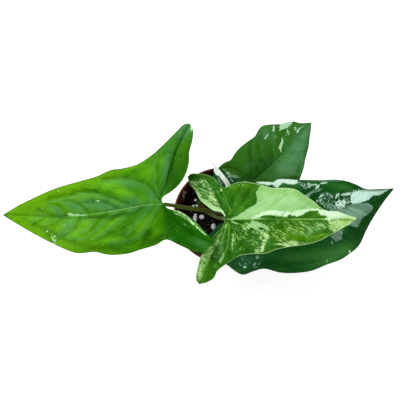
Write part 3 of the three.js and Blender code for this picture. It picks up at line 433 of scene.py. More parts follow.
MARKS["right"] = {
    "veins": [
        [(246, 219), (262, 232), (276, 247), (287, 260), (292, 268)],
        [(266, 217.5), (284, 230), (300, 244), (312, 258), (316, 266)],
        [(288, 215.5), (306, 227), (322, 239), (335, 250), (340, 257)],
        [(310, 212.5), (326, 222), (342, 233), (354, 243)],
        [(330, 210), (345, 217), (357, 226), (366, 233)],
        [(348, 207), (360, 212), (371, 219)],
        [(364, 203.5), (373, 206), (381, 209)],
        [(240, 218), (262, 205), (280, 192), (291, 182)],
        [(266, 216), (288, 204), (306, 192), (316, 184)],
        [(292, 214), (312, 203), (328, 193), (340, 184)],
        [(318, 211.5), (334, 203), (348, 194), (356, 188)],
        [(342, 208), (354, 200), (365, 192)],
        [(360, 205), (371, 198), (380, 192)],
        [(236, 224), (246, 240), (252, 256), (254, 268)],
        [(228, 226), (220, 230), (213, 234)],
    ],
    "pale": [
        [(255, 181.2), (262, 181.4), (268, 182), (273, 182.6), (276.4, 179.6), (282, 178.8),
         (290, 179.2), (298, 180), (297.6, 182.6), (294, 184), (289, 184.4), (285, 182.8), (282, 183),
         (279.6, 185.4), (277.4, 187.8), (275, 187), (273, 184.8), (268, 185.2), (262, 184),
         (256, 182.6)],
        [(307, 183.4), (309, 182.6), (311, 184), (313, 184.6), (316, 183.2), (317, 185), (314, 185.6),
         (311, 185.8), (310, 187.6), (307.4, 188), (307, 186)],
        [(319, 186.8), (317, 189.2), (314.6, 189), (316.6, 186.2), (319, 184.4)],
        [(320, 183.4), (323, 182.4), (328, 181.6), (326, 183.4), (322, 184)],
        [(350, 202), (350.5, 195.5), (352, 193), (356, 191), (360, 190), (364, 190.2), (370, 190),
         (378, 190), (386, 189.6), (388.6, 189.4), (385.4, 191.6), (382, 194), (377, 195.6),
         (374, 195.2), (371.5, 197), (368, 200), (362, 202.2), (356, 203.5), (352, 203.6)],
        [(348.4, 249.8), (350.6, 250.4), (350.8, 252), (349, 253.8), (348.6, 252)],
        [(326.6, 258.6), (327.2, 258.6), (327, 262), (326.5, 262)],
        [(331, 241.6), (332, 241.2), (333, 244), (332.2, 244)],
        [(254, 264), (256, 262.6), (255, 265.6), (253.6, 266)],
        [(243, 266.4), (245.6, 266), (246.6, 268.4), (244, 268)],
        [(256, 257), (258, 255), (259, 255.4), (257, 258.6)],
        [(239, 262.6), (239.6, 262.6), (240.4, 265.4), (239.8, 265.4)],
        [(226.6, 173.4), (229.6, 174.6), (233, 175), (236, 176.4), (238, 177.8), (236, 178.2),
         (233, 177), (229, 176)],
        [(229.4, 177), (230.4, 176.8), (233.2, 181.4), (232.2, 181.8)],
        [(237, 176.4), (241, 177.6), (244.6, 179.6), (241, 179), (237.6, 177.8)],
        [(243.6, 181.6), (248, 181.2), (248, 182.2), (244, 182.4)],
    ],
    "light": [
        [(345, 209), (350, 204.6), (355, 203.6), (362, 202.8), (368, 203.4), (371.6, 205),
         (373.4, 207.6), (371.4, 210.4), (369.6, 212.8), (364.6, 216.4), (361, 219.4), (359.6, 223),
         (357.6, 227), (353, 227), (349, 225), (346, 226), (338, 222), (330, 214), (330, 207),
         (336, 208)],
        [(330, 237), (335, 232), (343.4, 229), (342.2, 234), (342, 238), (339.6, 240.6), (336.4, 241.6),
         (333.4, 239.8)],
        [(303, 196), (307, 193.6), (312, 191), (314.6, 188.6), (318, 188.6), (323, 188.6), (320, 191),
         (315, 192.6), (311, 194), (309, 197.4)],
        [(290, 179.4), (298, 180.4), (296.6, 183.4), (291, 184)],
        [(318, 180.2), (328, 180), (340, 180.6), (340, 181.4), (328, 181), (318, 181.4)],
        [(217, 176), (219.6, 178), (222.6, 184), (221, 185), (218, 181)],
    ],
    "flecks": [
        (0.42, [(298, 181), (306, 182), (312, 184.6), (306, 190), (300, 187)]),
        (0.4, [(316, 199), (320, 194), (336, 194), (340, 198), (334, 204), (324, 208), (318, 203)]),
        (0.8, [(323, 192.6), (326, 192.8), (329.4, 193.4), (329, 195.6), (325, 195)]),
        (0.7, [(325, 196), (327.6, 195.6), (327, 199.6), (325, 199)]),
        (0.9, [(316, 199.6), (319.6, 200), (319.6, 201.4), (316, 200.8)]),
        (0.6, [(320.4, 199.8), (324.4, 200.6), (325, 203), (321, 203.6)]),
        (0.62, [(326, 206), (328, 204), (332, 203.4), (334.4, 205), (334, 207.5), (330, 209),
                (327, 208.5)]),
        (0.95, [(335, 196.4), (336.4, 193), (339.4, 193), (339.4, 195), (337, 197), (335, 198)]),
        (0.9, [(340, 195.4), (343, 193.5), (348, 192.3), (353, 191.6), (350, 194.8), (346, 195.8),
               (343, 196)]),
        (0.8, [(330.6, 196.8), (334, 195.6), (335.4, 197.2), (332, 198.2)]),
        (0.75, [(335, 205), (335.5, 201), (338, 199.5), (341, 198.4), (344, 199), (346.4, 201),
                (346, 203), (345.4, 205.5), (348, 207), (344, 209), (340, 210.4), (336, 210),
                (333, 207.5)]),
        (0.5, [(344, 197), (350, 198), (351, 203), (347, 205.6), (345, 203)]),
        (0.7, [(350, 190.6), (358, 189.4), (366, 190), (362, 191.6), (354, 192.6)]),
        (0.2, [(232, 255), (262, 254), (264, 262), (256, 268), (240, 268)]),
        (0.14, [(226, 170), (240, 176), (248, 182), (236, 186), (229, 185), (225, 178)]),
    ],
    "sheen": [
        (245, 262, 10, 6, 0, 0.6), (215, 230, 8, 8, 0, 0.5), (340, 228, 14, 5, 30, 0.3),
        (300, 186, 14, 6, 0, 0.35), (325, 242, 10, 5, 0, 0.35), (262, 259, 8, 5, 0, 0.4),
    ],
    "warm": [
        (335, 187, 14, 5, 0, 0.6), (330, 252, 18, 6, -15, 0.6), (345, 245, 10, 5, -30, 0.5),
        (348, 184, 10, 4, 20, 0.5), (310, 250, 10, 6, 0, 0.3),
    ],
    "bright": [
        (338, 252, 14, 7, -28, 0.9), (288, 182, 16, 5, 0, 1), (264, 183, 9, 3, 0, 1),
        (311, 184, 5, 4, 0, 0.6), (320, 254, 20, 6, -10, 0.5), (290, 258, 24, 6, 0, 0.35),
        (340, 252, 14, 4, -28, 0.5), (322, 262, 14, 4, -14, 0.5), (342, 187, 12, 3, 15, 0.4),
        (238, 270, 8, 2, 0, 0.4),
    ],
    "dark": [
        (372, 215, 8, 14, 30, 0.9), (270, 262, 12, 6, 0, 0.8), (300, 263, 22, 1.6, -6, 0.5),
        (316, 196, 10, 6, 40, 0.7), (306, 186, 6, 5, 0, 0.8), (355, 235, 8, 6, 0, 0.5),
        (270, 187, 5, 1.6, 0, 0.8), (290, 187, 5, 1.6, 10, 0.7), (352, 228, 8, 2, 20, 0.6),
        (382, 198, 8, 4, -30, 0.7), (236, 178, 11, 6, 20, 0.9), (374, 190.4, 13, 1.3, 0, 0.9),
    ],
}
MARKS["back"] = {
    "veins": [
        [(262, 174), (254, 160), (251, 148), (253, 140)],
        [(268, 168.5), (262, 156), (260, 144), (263, 132)],
        [(275, 160.5), (272, 148), (272, 137), (275, 126)],
        [(284, 153), (283, 142), (285, 132), (288, 124)],
        [(293, 142.5), (293, 135), (296, 126)],
        [(255, 183), (243, 172), (234, 166), (226, 165)],
        [(268, 168.5), (280, 172), (290, 174), (296, 176)],
        [(276, 160), (288, 163), (297, 164), (302, 162)],
        [(286, 150.5), (296, 152), (303, 150), (306, 147)],
        [(296, 139.5), (303, 139), (308, 136)],
        [(262, 176), (270, 180), (278, 182)],
    ],
    "pale": [
        [(279.6, 131), (281.4, 129.6), (284, 129), (287.4, 127.8), (290, 125.6), (292.4, 123),
         (293.6, 121), (285, 120.6), (280, 122), (279.8, 126)],
        [(273, 125.4), (275, 125.4), (274.6, 131.4), (272.4, 131.6)],
        [(264.2, 138.8), (266.6, 135.4), (268.4, 133.6), (267.8, 136.2), (265.4, 138.8)],
        [(282.4, 136.8), (283, 140), (283.6, 142), (282, 145.6), (281.4, 149), (281.2, 153),
         (280.2, 152), (279.6, 149.4), (278.4, 148.4), (280, 144), (281.2, 141)],
        [(286.8, 129.8), (288.3, 130.2), (288.9, 134.9), (287.2, 135)],
        [(294.6, 127.4), (295.8, 127.2), (296.2, 129.8), (295, 130)],
        [(297, 133.6), (296.6, 130.4), (299, 128), (303.6, 126), (300, 128.6), (298.4, 132)],
        [(226, 172.6), (228.6, 172.4), (229, 173.6), (226.4, 173.8)],
        [(231.6, 176), (234, 176), (238, 177.6), (236, 178.2)],
    ],
    "flecks": [
        (0.33, [(222, 168), (236, 174), (246, 180), (240, 183), (228, 178)]),
        (0.14, [(286, 122), (308, 122), (302, 138), (284, 142)]),
        (0.07, [(262, 126), (280, 126), (280, 140), (262, 142)]),
    ],
    "sheen": [
        (296, 152, 8, 22, 22, 1), (303, 158, 3, 14, 16, 0.8), (284, 168, 12, 8, 0, 0.9),
        (264, 132, 8, 6, -30, 0.4), (305, 135, 4, 12, 15, 0.8), (272, 135, 3, 8, 15, 0.4),
        (250, 166, 6, 4, -30, 0.25),
    ],
    "warm": [
        (252, 152, 8, 12, 20, 0.6), (238, 168, 8, 6, 20, 0.7), (275, 148, 8, 10, 20, 0.4),
        (235, 160, 10, 6, -20, 0.4),
    ],
    "bright": [
        (290, 155, 6, 16, 25, 0.5), (268, 130, 10, 4, -20, 0.4), (240, 158, 10, 4, -30, 0.3),
    ],
    "dark": [
        (268, 164, 5, 10, 30, 0.6), (258, 166, 6, 8, 20, 0.5), (276, 128, 3, 3, 0, 0.7),
        (306, 148, 1.6, 16, 14, 0.5), (298, 170, 2, 7, 20, 0.6), (250, 160, 1.6, 16, -4, 0.6),
        (272, 168, 3, 6, 35, 0.5), (240, 176, 14, 3, 25, 0.5), (250, 178, 10, 4, 0, 0.7),
        (292, 178, 10, 2, 0, 0.8), (228, 166, 6, 3, -30, 0.4),
    ],
}

# ------------------------------------------------------------------ curves and noise

DENSE = 500  # points of a curve that is being measured
GRID = (97, 89)  # random heights of the noise before they repeat


def catmull(points, share):
    """Points of a smooth (centripetal Catmull-Rom) curve; share runs from 0 to 1 by the points."""
    points = np.asarray(points, float)
    share = np.atleast_1d(np.asarray(share, float))
    last = len(points) - 2
    place = share * (last + 1)
    first = np.clip(np.floor(place).astype(int), 0, last)
    w = (place - first)[:, None]
    ends = np.vstack([2 * points[0] - points[1], points, 2 * points[-1] - points[-2]])
    p0, p1, p2, p3 = (ends[first + k] for k in range(4))
    t0, t1, t2 = (
        np.maximum(np.sum((a - b) ** 2, axis=1) ** 0.25, 1e-6)[:, None]
        for a, b in ((p0, p1), (p1, p2), (p2, p3))
    )
    leave = ((p1 - p0) / t0 - (p2 - p0) / (t0 + t1) + (p2 - p1) / t1) * t1
    arrive = ((p2 - p1) / t1 - (p3 - p1) / (t1 + t2) + (p3 - p2) / t2) * t1
    bend = -3 * p1 + 3 * p2 - 2 * leave - arrive
    return p1 + leave * w + bend * w**2 + (2 * p1 - 2 * p2 + leave + arrive) * w**3


def whole(points, count):
    """A smooth curve through all the points."""
    return catmull(points, np.linspace(0, 1, count))


def lengths(line):
    """The distance of each point of a line from its start, along the line."""
    return np.r_[0, np.cumsum(np.linalg.norm(np.diff(line, axis=0), axis=1))]


def evenly(points, count, start=0.0, end=1.0):
    """Count points evenly spaced along the curve, between two shares of its length."""
    dense = whole(points, DENSE)
    length = lengths(dense)
    wanted = np.linspace(start, end, count) * length[-1]
    return np.stack([np.interp(wanted, length, dense[:, k]) for k in range(3)], axis=1)


def smooth_step(value, low, high):
    """0 at low, 1 at high, and a smooth way between."""
    t = np.clip((value - low) / (high - low), 0, 1)
    return t * t * (3 - 2 * t)


def bump(value, middle, width, power=2):
    """A soft hump, 1 at its middle."""
    return np.exp(-(np.abs((value - middle) / width) ** power))


def lattice(x, y, seed):
    """Smooth random heights from 0 to 1, one per unit square's corner."""
    grid = np.random.default_rng(seed).random(GRID)
    ix, iy = np.floor(x).astype(int), np.floor(y).astype(int)
    fx, fy = smooth_step(x - ix, 0, 1), smooth_step(y - iy, 0, 1)
    rows = [grid[ix % GRID[0], k % GRID[1]] * (1 - fx) + grid[(ix + 1) % GRID[0], k % GRID[1]] * fx
            for k in (iy, iy + 1)]
    return rows[0] * (1 - fy) + rows[1] * fy


def rough(x, y, size, layers, seed, fade=1.7):
    """Random relief, from about -1 to 1, whose widest lumps are `size` apart. Each finer layer
    is lower by `fade`."""
    total = np.zeros(np.shape(x))
    for k in range(layers):
        total += (2 * lattice(x * 2**k / size, y * 2**k / size, seed + k) - 1) / fade**k
    return total


# ------------------------------------------------------------------ meshes


def make_piece(name, points, faces, marks, material):
    """A piece from points in millimetres, with named values at its points for its material."""
    mesh = bpy.data.meshes.new(name)
    mesh.from_pydata((np.asarray(points) * MM).tolist(), [], faces)
    for key, values in marks.items():
        values = np.asarray(values, np.float32)
        kind, part = ("FLOAT_VECTOR", "vector") if values.ndim == 2 else ("FLOAT", "value")
        mesh.attributes.new(key, kind, "POINT").data.foreach_set(part, values.ravel())
    mesh.polygons.foreach_set("use_smooth", [True] * len(mesh.polygons))
    mesh.materials.append(material)
    mesh.update()
    return add_object(name, mesh)


def add_object(name, data):
    """A new object in the scene."""
    made = bpy.data.objects.new(name, data)
    bpy.context.scene.collection.objects.link(made)
    return made


def place(piece, slot, *nodes):
    """Ties a piece to the plant, and hides the CAD nodes that it stands for."""
    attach(piece, "root")
    if nodes:
        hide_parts(*nodes)
    return piece


def ring_faces(rings, sides, caps=True):
    """Faces of a body skinned over rings of points that run anticlockwise seen from its end."""
    faces = []
    for k in range(rings - 1):
        for i in range(sides):
            j = (i + 1) % sides
            faces.append([k * sides + i, k * sides + j, (k + 1) * sides + j, (k + 1) * sides + i])
    if caps:
        faces.append(list(range(sides))[::-1])
        faces.append([(rings - 1) * sides + i for i in range(sides)])
    return faces


def around(angle):
    """Angles brought between minus and plus half a turn."""
    return (angle + math.pi) % (2 * math.pi) - math.pi


def frames(line, side):
    """For each point of a line: the point, the way on, and two directions across it. The first
    of these faces `side` at the start."""
    ahead = np.gradient(line, axis=0)
    ahead /= np.linalg.norm(ahead, axis=1)[:, None]
    normal = np.asarray(side, float)
    for centre, way in zip(line, ahead):
        normal = normal - way * normal.dot(way)
        normal /= np.linalg.norm(normal)
        yield centre, normal, np.cross(way, normal)


def make_limb(name, line, radius, sides, side, finish):
    """A round limb along a line. radius(along, angle) gives its outline; angle 0 faces `side`."""
    length = lengths(line)
    angle = np.linspace(0, 2 * math.pi, sides, endpoint=False)
    points, span = [], []
    for k, (centre, normal, across) in enumerate(frames(line, side)):
        along = k / (len(line) - 1)
        r = radius(along, angle)[:, None]
        points.append(centre + r * np.cos(angle)[:, None] * normal
                      + r * np.sin(angle)[:, None] * across)
        span.append(np.stack([np.abs(around(angle)), np.full(sides, length[k]),
                              np.full(sides, along)], axis=1))
    return make_piece(name, np.concatenate(points), ring_faces(len(line), sides),
                      {"span": np.concatenate(span)}, finish)


# ------------------------------------------------------------------ materials


def rgb(code):
    """Linear colour from a hexadecimal one, by the formula of the sRGB standard."""
    parts = [int(code[k:k + 2], 16) / 255 for k in (0, 2, 4)]
    return tuple(p / 12.92 if p <= 0.04045 else ((p + 0.055) / 1.055) ** 2.4
                 for p in parts) + (1.0,)


class Finish:
    """One procedural material: short calls that add its nodes."""

    def __init__(self, name):
        self.material = bpy.data.materials.new(name)
        self.material.use_nodes = True
        self.tree = self.material.node_tree
        self.tree.nodes.clear()
        self.shader = self.tree.nodes.new("ShaderNodeBsdfPrincipled")
        output = self.tree.nodes.new("ShaderNodeOutputMaterial")
        self.tree.links.new(self.shader.outputs[0], output.inputs[0])

    def put(self, socket, value):
        """Sets a socket, or links it; text is a hexadecimal colour."""
        if isinstance(value, bpy.types.NodeSocket):
            self.tree.links.new(value, socket)
        else:
            socket.default_value = rgb(value) if isinstance(value, str) else value

    def node(self, kind, inputs, output=0, **settings):
        """Adds a node and returns one of its outputs."""
        node = self.tree.nodes.new("ShaderNode" + kind)
        for key, value in settings.items():
            setattr(node, key, value)
        for key, value in inputs.items():
            self.put(node.inputs[key], value)
        return node.outputs[output]

    def data(self, name, part="Fac"):
        """One of the named values at the mesh's points."""
        return self.node("Attribute", {}, part, attribute_name=name)

    def times(self, a, b):
        return self.node("Math", {0: a, 1: b}, operation="MULTIPLY")

    def less(self, a, b):
        return self.node("Math", {0: a, 1: b}, operation="SUBTRACT")

    def least(self, a, b):
        return self.node("Math", {0: a, 1: b}, operation="MINIMUM")

    def plus(self, first, *others):
        for other in others:
            first = self.node("Math", {0: first, 1: other}, operation="ADD")
        return first

    def mix(self, share, a, b):
        """Colour a, and b where share is 1."""
        return self.node("Mix", {0: share, 6: a, 7: b}, 2, data_type="RGBA")

    def layers(self, colour, *layers):
        """A colour under others, each given with its share."""
        for share, over in layers:
            colour = self.mix(share, colour, over)
        return colour

    def step(self, value, low, high, start=0.0, end=1.0):
        """Start below low, end above high, and a smooth way between."""
        parts = dict(enumerate((value, low, high, start, end)))
        return self.node("MapRange", parts, interpolation_type="SMOOTHSTEP")

    def stretch(self, vector, *scale):
        return self.node("VectorMath", {0: vector, 1: scale}, operation="MULTIPLY")

    def noise(self, vector, scale, detail=3.0, roughness=0.55, warp=0.0):
        return self.node("TexNoise", {"Vector": vector, "Scale": scale, "Detail": detail,
                                      "Roughness": roughness, "Distortion": warp})

    def cells(self, vector, scale, feature="DISTANCE_TO_EDGE"):
        """Distance to the borders of small random cells, or with F1 to their middles."""
        return self.node("TexVoronoi", {"Vector": vector, "Scale": scale}, "Distance",
                         feature=feature)

    def glow(self, colour, strength):
        self.put(self.shader.inputs["Emission Color"], colour)
        self.put(self.shader.inputs["Emission Strength"], strength)

    def finish(self, colour, roughness, height, depth, specular=0.3, haze=(1, 1, 1)):
        """Ends the material: height and depth give its fine relief, haze its highlights' tint."""
        relief = self.node("Bump", {"Height": height, "Distance": depth * MM})
        for name, value in (("Base Color", colour), ("Roughness", roughness), ("Normal", relief),
                            ("Specular IOR Level", specular), ("Specular Tint", (*haze, 1))):
            self.put(self.shader.inputs[name], value)
        return self.material


# The leaves' looks, in the order left, centre, right, back.
LOOK_ROWS = {
    # green at the tip and at the stalk
    "base": (("62a402", "367e04"), ("276a00", "206200"), ("003a02", "044808"), ("2b6a10", "245e08")),
    # green in the soft ovals of these names, and in streaks and blotches; sheen is a bluish
    # painted highlight, also painted on the veins' near sides
    "warm": ("5f9f00", "5a9400", "125a0c", "2a6400"),
    "bright": ("68b018", "58a01e", "428438", "36741e"),
    "sheen": ("4a8c4a", "4c9450", "22603c", "51875b"),
    # the leaf's darker mottling, painted shade in the vein furrows, on the veins' far sides and
    # along the lobes' ribs, and the dark ovals, partly darker green and partly painted shade
    "deep": ("0a4800", "0c3c02", "023002", "103c04"),
    # patches and flecks: two tones each, mixed by noise
    "pale": (("cdf3c0", "b4e6a4"), ("d6f8cc", "c6eeb4"), ("cff0e4", "b8dccb"), ("b4dcb6", "a4d0a2")),
    "light": (("8fc86a", "80bb5c"), ("98d084", "8bc272"), ("4c7156", "5b7d62"), ("7fb070", "70a262")),
    "fleck": (("9bd47e", "c5efb0"), ("78b63c", "caf2a6"), ("86ac96", "d2eee0"), ("8fbb86", "c2e2b8")),
    # round the flecks, and its strength
    "middle": ("7ab83c", "4a921a", "3c6a4c", "4a8048"),
    "half": (0.3, 0.12, 0.3, 0.4),
    # the midrib, and its strength at shares of the leaf's length
    "vein": ("86ba68", "b8de78", "2a5e28", "4c8450"),
    "line": (((-0.02, 0.02, 0.45, 0.6, 0.75), (0, 0.8, 0.8, 0.3, 0.1)),
             ((-0.02, 0.04, 0.22, 0.28, 0.46, 0.53, 1), (0.1, 0.6, 0.7, 0.2, 0.25, 0.9, 0.8)),
             ((0, 0.5, 1), (0.3, 0.7, 0.4)), ((0, 1), (0.5, 0.4))),
    # the edge, and its strength
    "rim": ("3a6008", "c4e2a2", "123a0e", "1d4a10"),
    "edge": (0.75, 0.65, 0.75, 0.75),
    # the lobes, and its strength in the left and the right one
    "lobe": ("085a00", "1f6606", "124a1e", "28640a"),
    "lobes": ((1.0, 0.35), (0.8, 0.8), (1, 1), (1, 1)),
    # the highlights
    "haze": ((0.5, 1.0, 0.22), (0.6, 1.0, 0.35), (0.3, 1.0, 0.4), (0.6, 1.0, 0.45)),
    # lift between the veins in millimetres
    "quilt": (0.6, 0.3, 0.3, 0.25),
    # unevenness of the patches' edges
    "ragged": (0.5, 0.7, 0.6, 0.5),
    # painted shade along the lateral veins, on their far sides and along the lobes' ribs, and
    # painted sheen on the veins' near sides
    "furrow": (0.45, 0.3, 0.2, 0.16),
    "spine": (0.6, 0.4, 0.4, 0.15),
    "ridge_sheen": (0.5, 0.15, 0.15, 0.15),
    # strength of the soft blotches
    "mottle": (0.2, 0.25, 0.12, 0.25),
    # share of fine grain in the flecks, and its scale across and along the veins
    "grain": ((0.8, 0.9, 0.3), (1.0, 1.3, 0.28), (0.55, 1.0, 0.5), (0.7, 0.9, 0.3)),
}
LOOKS = {side: {key: row[k] for key, row in LOOK_ROWS.items()}
         for k, side in enumerate(SHAPES)}

# Colours that the leaves share, and those of the other surfaces.
SHARED = {"gold": "a2cc50", "white": "f0fff2", "gold_fleck": "8fb42c", "gold_spot": "b4d04c",
          "scratch": "24400e", "under": "769e6c"}
STALK_TINTS = {"fibre": "4c5c1a", "speck": "5a6a2c", "neck": "3c5c12"}
NEW_TINTS = {"main": ("fdfffa", "eef8ea"), "grey": "bccabe", "blot": "b9d0ac", "gap": "7d9c70",
             "foot": "8cb070", "tip": "c4cec0", "seam": "8fae7c"}
POT_TINTS = {"main": ("3c120a", "4e1d12"), "scuff": "7a5648", "wear_and_highlight": "6c4034",
             "grime_and_shade": "1a0605", "scratch": "b0a08c"}
SOIL_TINTS = {"potting_mix": ("050302", "0c0806", "1c140f", "2a2019"),
              "perlite": ("c2c2c6", "dadade", "9b9ba0", "ececee"),
              "bark": ("0d0705", "1d110b", "2e1d13", "0a0605")}


def blade_finish(side):
    """A leaf's surface: greens that vary between the veins, with painted sheen and painted shade
    beside them, then its pale markings.
    """
    look = LOOKS[side]
    f = Finish("leaf_" + side)
    plan, flow = f.data("plan", "Vector"), f.data("flow", "Vector")
    lateral, dark, facing = f.data("lateral"), f.data("dark"), f.data("facing")
    broad = f.noise(plan, 0.1, 3.0)
    fine = f.noise(plan, 1.5, 3.0, 0.65)
    blotch = f.noise(plan, 0.6, 4.0, 0.75, 0.6)
    mottle = f.noise(plan, 0.2, 4.0, 0.6, 0.4)
    long_ = f.noise(f.stretch(flow, 0.5, 0.1, 1), 1.0, 3.0, 0.55, 0.3)
    streak = f.noise(f.stretch(flow, 0.9, 0.28, 1), 1.0, 4.0, 0.62, 0.4)

    # green ground
    reach = f.plus(f.data("reach"), f.times(f.less(broad, 0.5), 0.7))
    # painted sheen on the veins' near sides, except on the lobes
    ridge_sheen = f.times(f.step(facing, 0.0, 0.8, 0.0, look["ridge_sheen"]), f.less(1.0, f.data("lobe")))
    # painted shade: in the vein furrows, on the veins' far sides and along the lobes' ribs
    furrow = f.plus(f.step(lateral, 0.05, 0.7, 0.6 * look["furrow"], 0.0),
                    f.step(facing, -0.8, 0.0, look["furrow"], 0.0),
                    f.step(f.data("spine"), 0.0, 1.0, look["spine"], 0.0))
    dull = f.plus(f.step(long_, 0.3, 0.5, 0.22, 0.0), f.step(streak, 0.5, 0.7, 0.0, 0.2),
                  f.step(mottle, 0.32, 0.5, look["mottle"], 0.0))
    # the dark ovals, partly painted shade, with the painted shade above and the darker mottling
    deep = f.times(f.least(f.plus(dark, furrow, dull), 1.0), 0.85)
    green = f.layers(
        f.mix(f.step(reach, 0.1, 0.75), look["base"][1], look["base"][0]),
        *((f.data(name), look[name]) for name in ("lobe", "warm", "bright", "sheen")),
        (f.step(long_, 0.5, 0.7, 0.0, 0.22), look["bright"]),
        (f.step(mottle, 0.5, 0.68, 0.0, look["mottle"]), look["bright"]),
        (ridge_sheen, look["sheen"]),
        (deep, look["deep"]),
        (f.step(fine, 0.5, 0.75, 0.0, 0.25), look["bright"]),
    )

    # the colours of the pale markings, darker under the dark ovals, which are partly painted shade
    light = f.layers(
        f.mix(f.step(broad, 0.35, 0.65), *look["light"]),
        (f.step(long_, 0.35, 0.65, 0.0, 0.25), look["pale"][1]),
        (f.step(lateral, 0.1, 0.9, 0.2, 0.0), look["pale"][1]),
        (f.step(f.data("rim"), 3.0, 6.0, 0.35, 0.0), look["fleck"][0]),
        (f.times(dark, 0.4), look["base"][0]),
    )
    pale = f.layers(
        f.mix(f.step(streak, 0.4, 0.62), *look["pale"]),
        (f.times(f.data("warm"), 0.85), SHARED["gold"]),
        (f.times(f.data("bright"), 0.4), SHARED["white"]),
        (f.times(dark, 0.9), look["light"][1]),
    )

    # where they lie: edges that wander with the veins, and flecks where the noise is high
    wander = f.plus(f.times(f.less(streak, 0.5), 3.0), f.times(f.less(blotch, 0.5), 4.5))
    share, *scale = look["grain"]
    grain = f.noise(f.stretch(flow, *scale, 1), 1.0, 4.0, 0.7, 0.3)
    clump = f.times(f.less(f.noise(plan, 0.2, 2.0), 0.5), 0.3)
    speck = f.plus(f.times(blotch, 1.3 - share), f.times(grain, share), clump)
    density = f.data("fleck")
    ragged = f.plus(f.times(density, 1.1), look["ragged"])

    def patch(name, unevenness):
        depth = f.plus(f.data(name), f.times(wander, f.times(ragged, unevenness)))
        return f.step(depth, -0.2, 0.2)

    over = f.less(speck, f.less(0.82, f.times(density, 0.3)))
    fleck = f.times(f.step(over, -0.01, 0.025), f.step(density, 0.02, 0.07, 0.0, 0.92))
    half = f.times(f.step(over, -0.1, 0.0, 0.0, look["half"]), f.step(density, 0.02, 0.2))
    spot = f.less(f.times(density, 0.55), f.cells(f.stretch(flow, 0.95, 0.6, 1), 1.0, "F1"))
    spot = f.times(f.step(spot, -0.05, 0.08, 0.0, 0.9), f.step(blotch, 0.42, 0.56))
    gold = f.times(f.data("warm"), 0.6)
    tint = f.mix(f.step(over, 0.0, 0.06), *look["fleck"])
    ray = f.plus(f.data("ray"), f.times(wander, 0.4))
    rib = f.plus(f.data("rib"), f.times(f.less(blotch, 0.5), 0.8))
    edge = f.times(f.step(f.data("rim"), 0.1, 0.8, look["edge"], 0.0),
                   f.step(f.data("pale"), -0.5, 0.5, 1.0, 0.15))
    colour = f.layers(
        green,
        (patch("light", 1.0), light),
        (half, look["middle"]),
        (fleck, f.mix(gold, tint, SHARED["gold_fleck"])),
        (spot, f.mix(gold, look["fleck"][1], SHARED["gold_spot"])),
        (patch("pale", 1.0), pale),
        (patch("green", 0.8), green),
        (f.step(ray, 0.0, 0.75, 0.6, 0.0), look["fleck"][0]),
        (f.step(f.data("scratch"), 0.1, 0.45, 0.9, 0.0), SHARED["scratch"]),
        (f.times(f.step(rib, 0.1, 0.42, 0.9, 0.0), f.data("line")), look["vein"]),
        (f.times(edge, f.step(f.data("reach"), 0.0, 0.2, 0.3, 1.0)), look["rim"]),
        (f.times(f.data("under"), 0.4), SHARED["under"]),
    )

    # fine relief and gloss
    net = f.cells(f.stretch(flow, 0.55, 0.3, 1), 1.0)
    relief = f.plus(f.step(net, 0.0, 0.2, 0.0, 0.6), f.times(fine, 0.8))
    gloss = f.plus(f.times(fine, 0.16), f.step(f.data("under"), 0.0, 1.0, 0.4, 0.55))
    return f.finish(colour, gloss, relief, 0.09, 0.14, look["haze"])


def stalk_finish(name, foot, top, dark):
    """Stalks and stems: colours of their foot, their top and their dark streaks."""
    f = Finish(name)
    span = f.data("span", "Vector")
    along = f.noise(f.stretch(span, 1.6, 0.35, 1), 1.0, 3.0)
    lines = f.noise(f.stretch(span, 7.0, 0.08, 1), 1.0, 3.0, 0.6)
    speck = f.noise(f.stretch(span, 4.0, 1.6, 1), 1.0, 3.0, 0.7)
    share = f.node("SeparateXYZ", {0: span}, 2)
    colour = f.layers(
        f.mix(f.step(share, 0.05, 0.8), foot, top),
        (f.step(along, 0.4, 0.7, 0.0, 0.5), dark),
        (f.step(lines, 0.45, 0.7, 0.0, 0.25), STALK_TINTS["fibre"]),
        (f.step(speck, 0.62, 0.7, 0.0, 0.3), STALK_TINTS["speck"]),
        (f.step(share, 0.9, 0.97, 0.0, 0.75), STALK_TINTS["neck"]),
    )
    return f.finish(colour, f.plus(f.times(speck, 0.2), 0.36),
                    f.plus(lines, f.times(speck, 0.3)), 0.14, 0.08, (0.9, 1.0, 0.1))


def new_leaf_finish():
    """The rolled new leaf: white, with fibres, greyer towards the tip by painted shade, and a
    faint painted glow that stands for light shining through it.
    """
    f, tints = Finish("leaf_new"), NEW_TINTS
    span = f.data("span", "Vector")
    share = f.node("SeparateXYZ", {0: span}, 2)
    fibre = f.noise(f.stretch(span, 1.8, 0.12, 1), 1.0, 3.5, 0.6)
    blot = f.noise(f.stretch(span, 0.9, 0.22, 1), 1.0, 3.0, 0.6, 0.5)
    colour = f.layers(
        f.mix(f.step(fibre, 0.4, 0.62), *tints["main"]),
        # painted shade: greyer over the upper part
        (f.step(share, 0.4, 0.7, 0.0, 0.4), tints["grey"]),
        (f.step(blot, 0.6, 0.7, 0.0, 0.25), tints["blot"]),
        (f.times(f.step(fibre, 0.56, 0.62), f.step(share, 0.35, 0.75, 0.8, 0.2)), tints["gap"]),
        (f.step(share, 0.0, 0.15, 0.5, 0.0), tints["foot"]),
        # painted shade at the tip
        (f.step(share, 0.94, 1.0, 0.0, 0.4), tints["tip"]),
        (f.step(f.data("seam"), 0.0, 0.4, 0.25, 0.0), tints["seam"]),
    )
    # a faint painted glow, standing for light shining through the thin leaf
    f.glow((0.85, 1.0, 0.85, 1), 0.2)
    return f.finish(colour, f.plus(f.times(fibre, 0.2), 0.42), fibre, 0.16, 0.35)


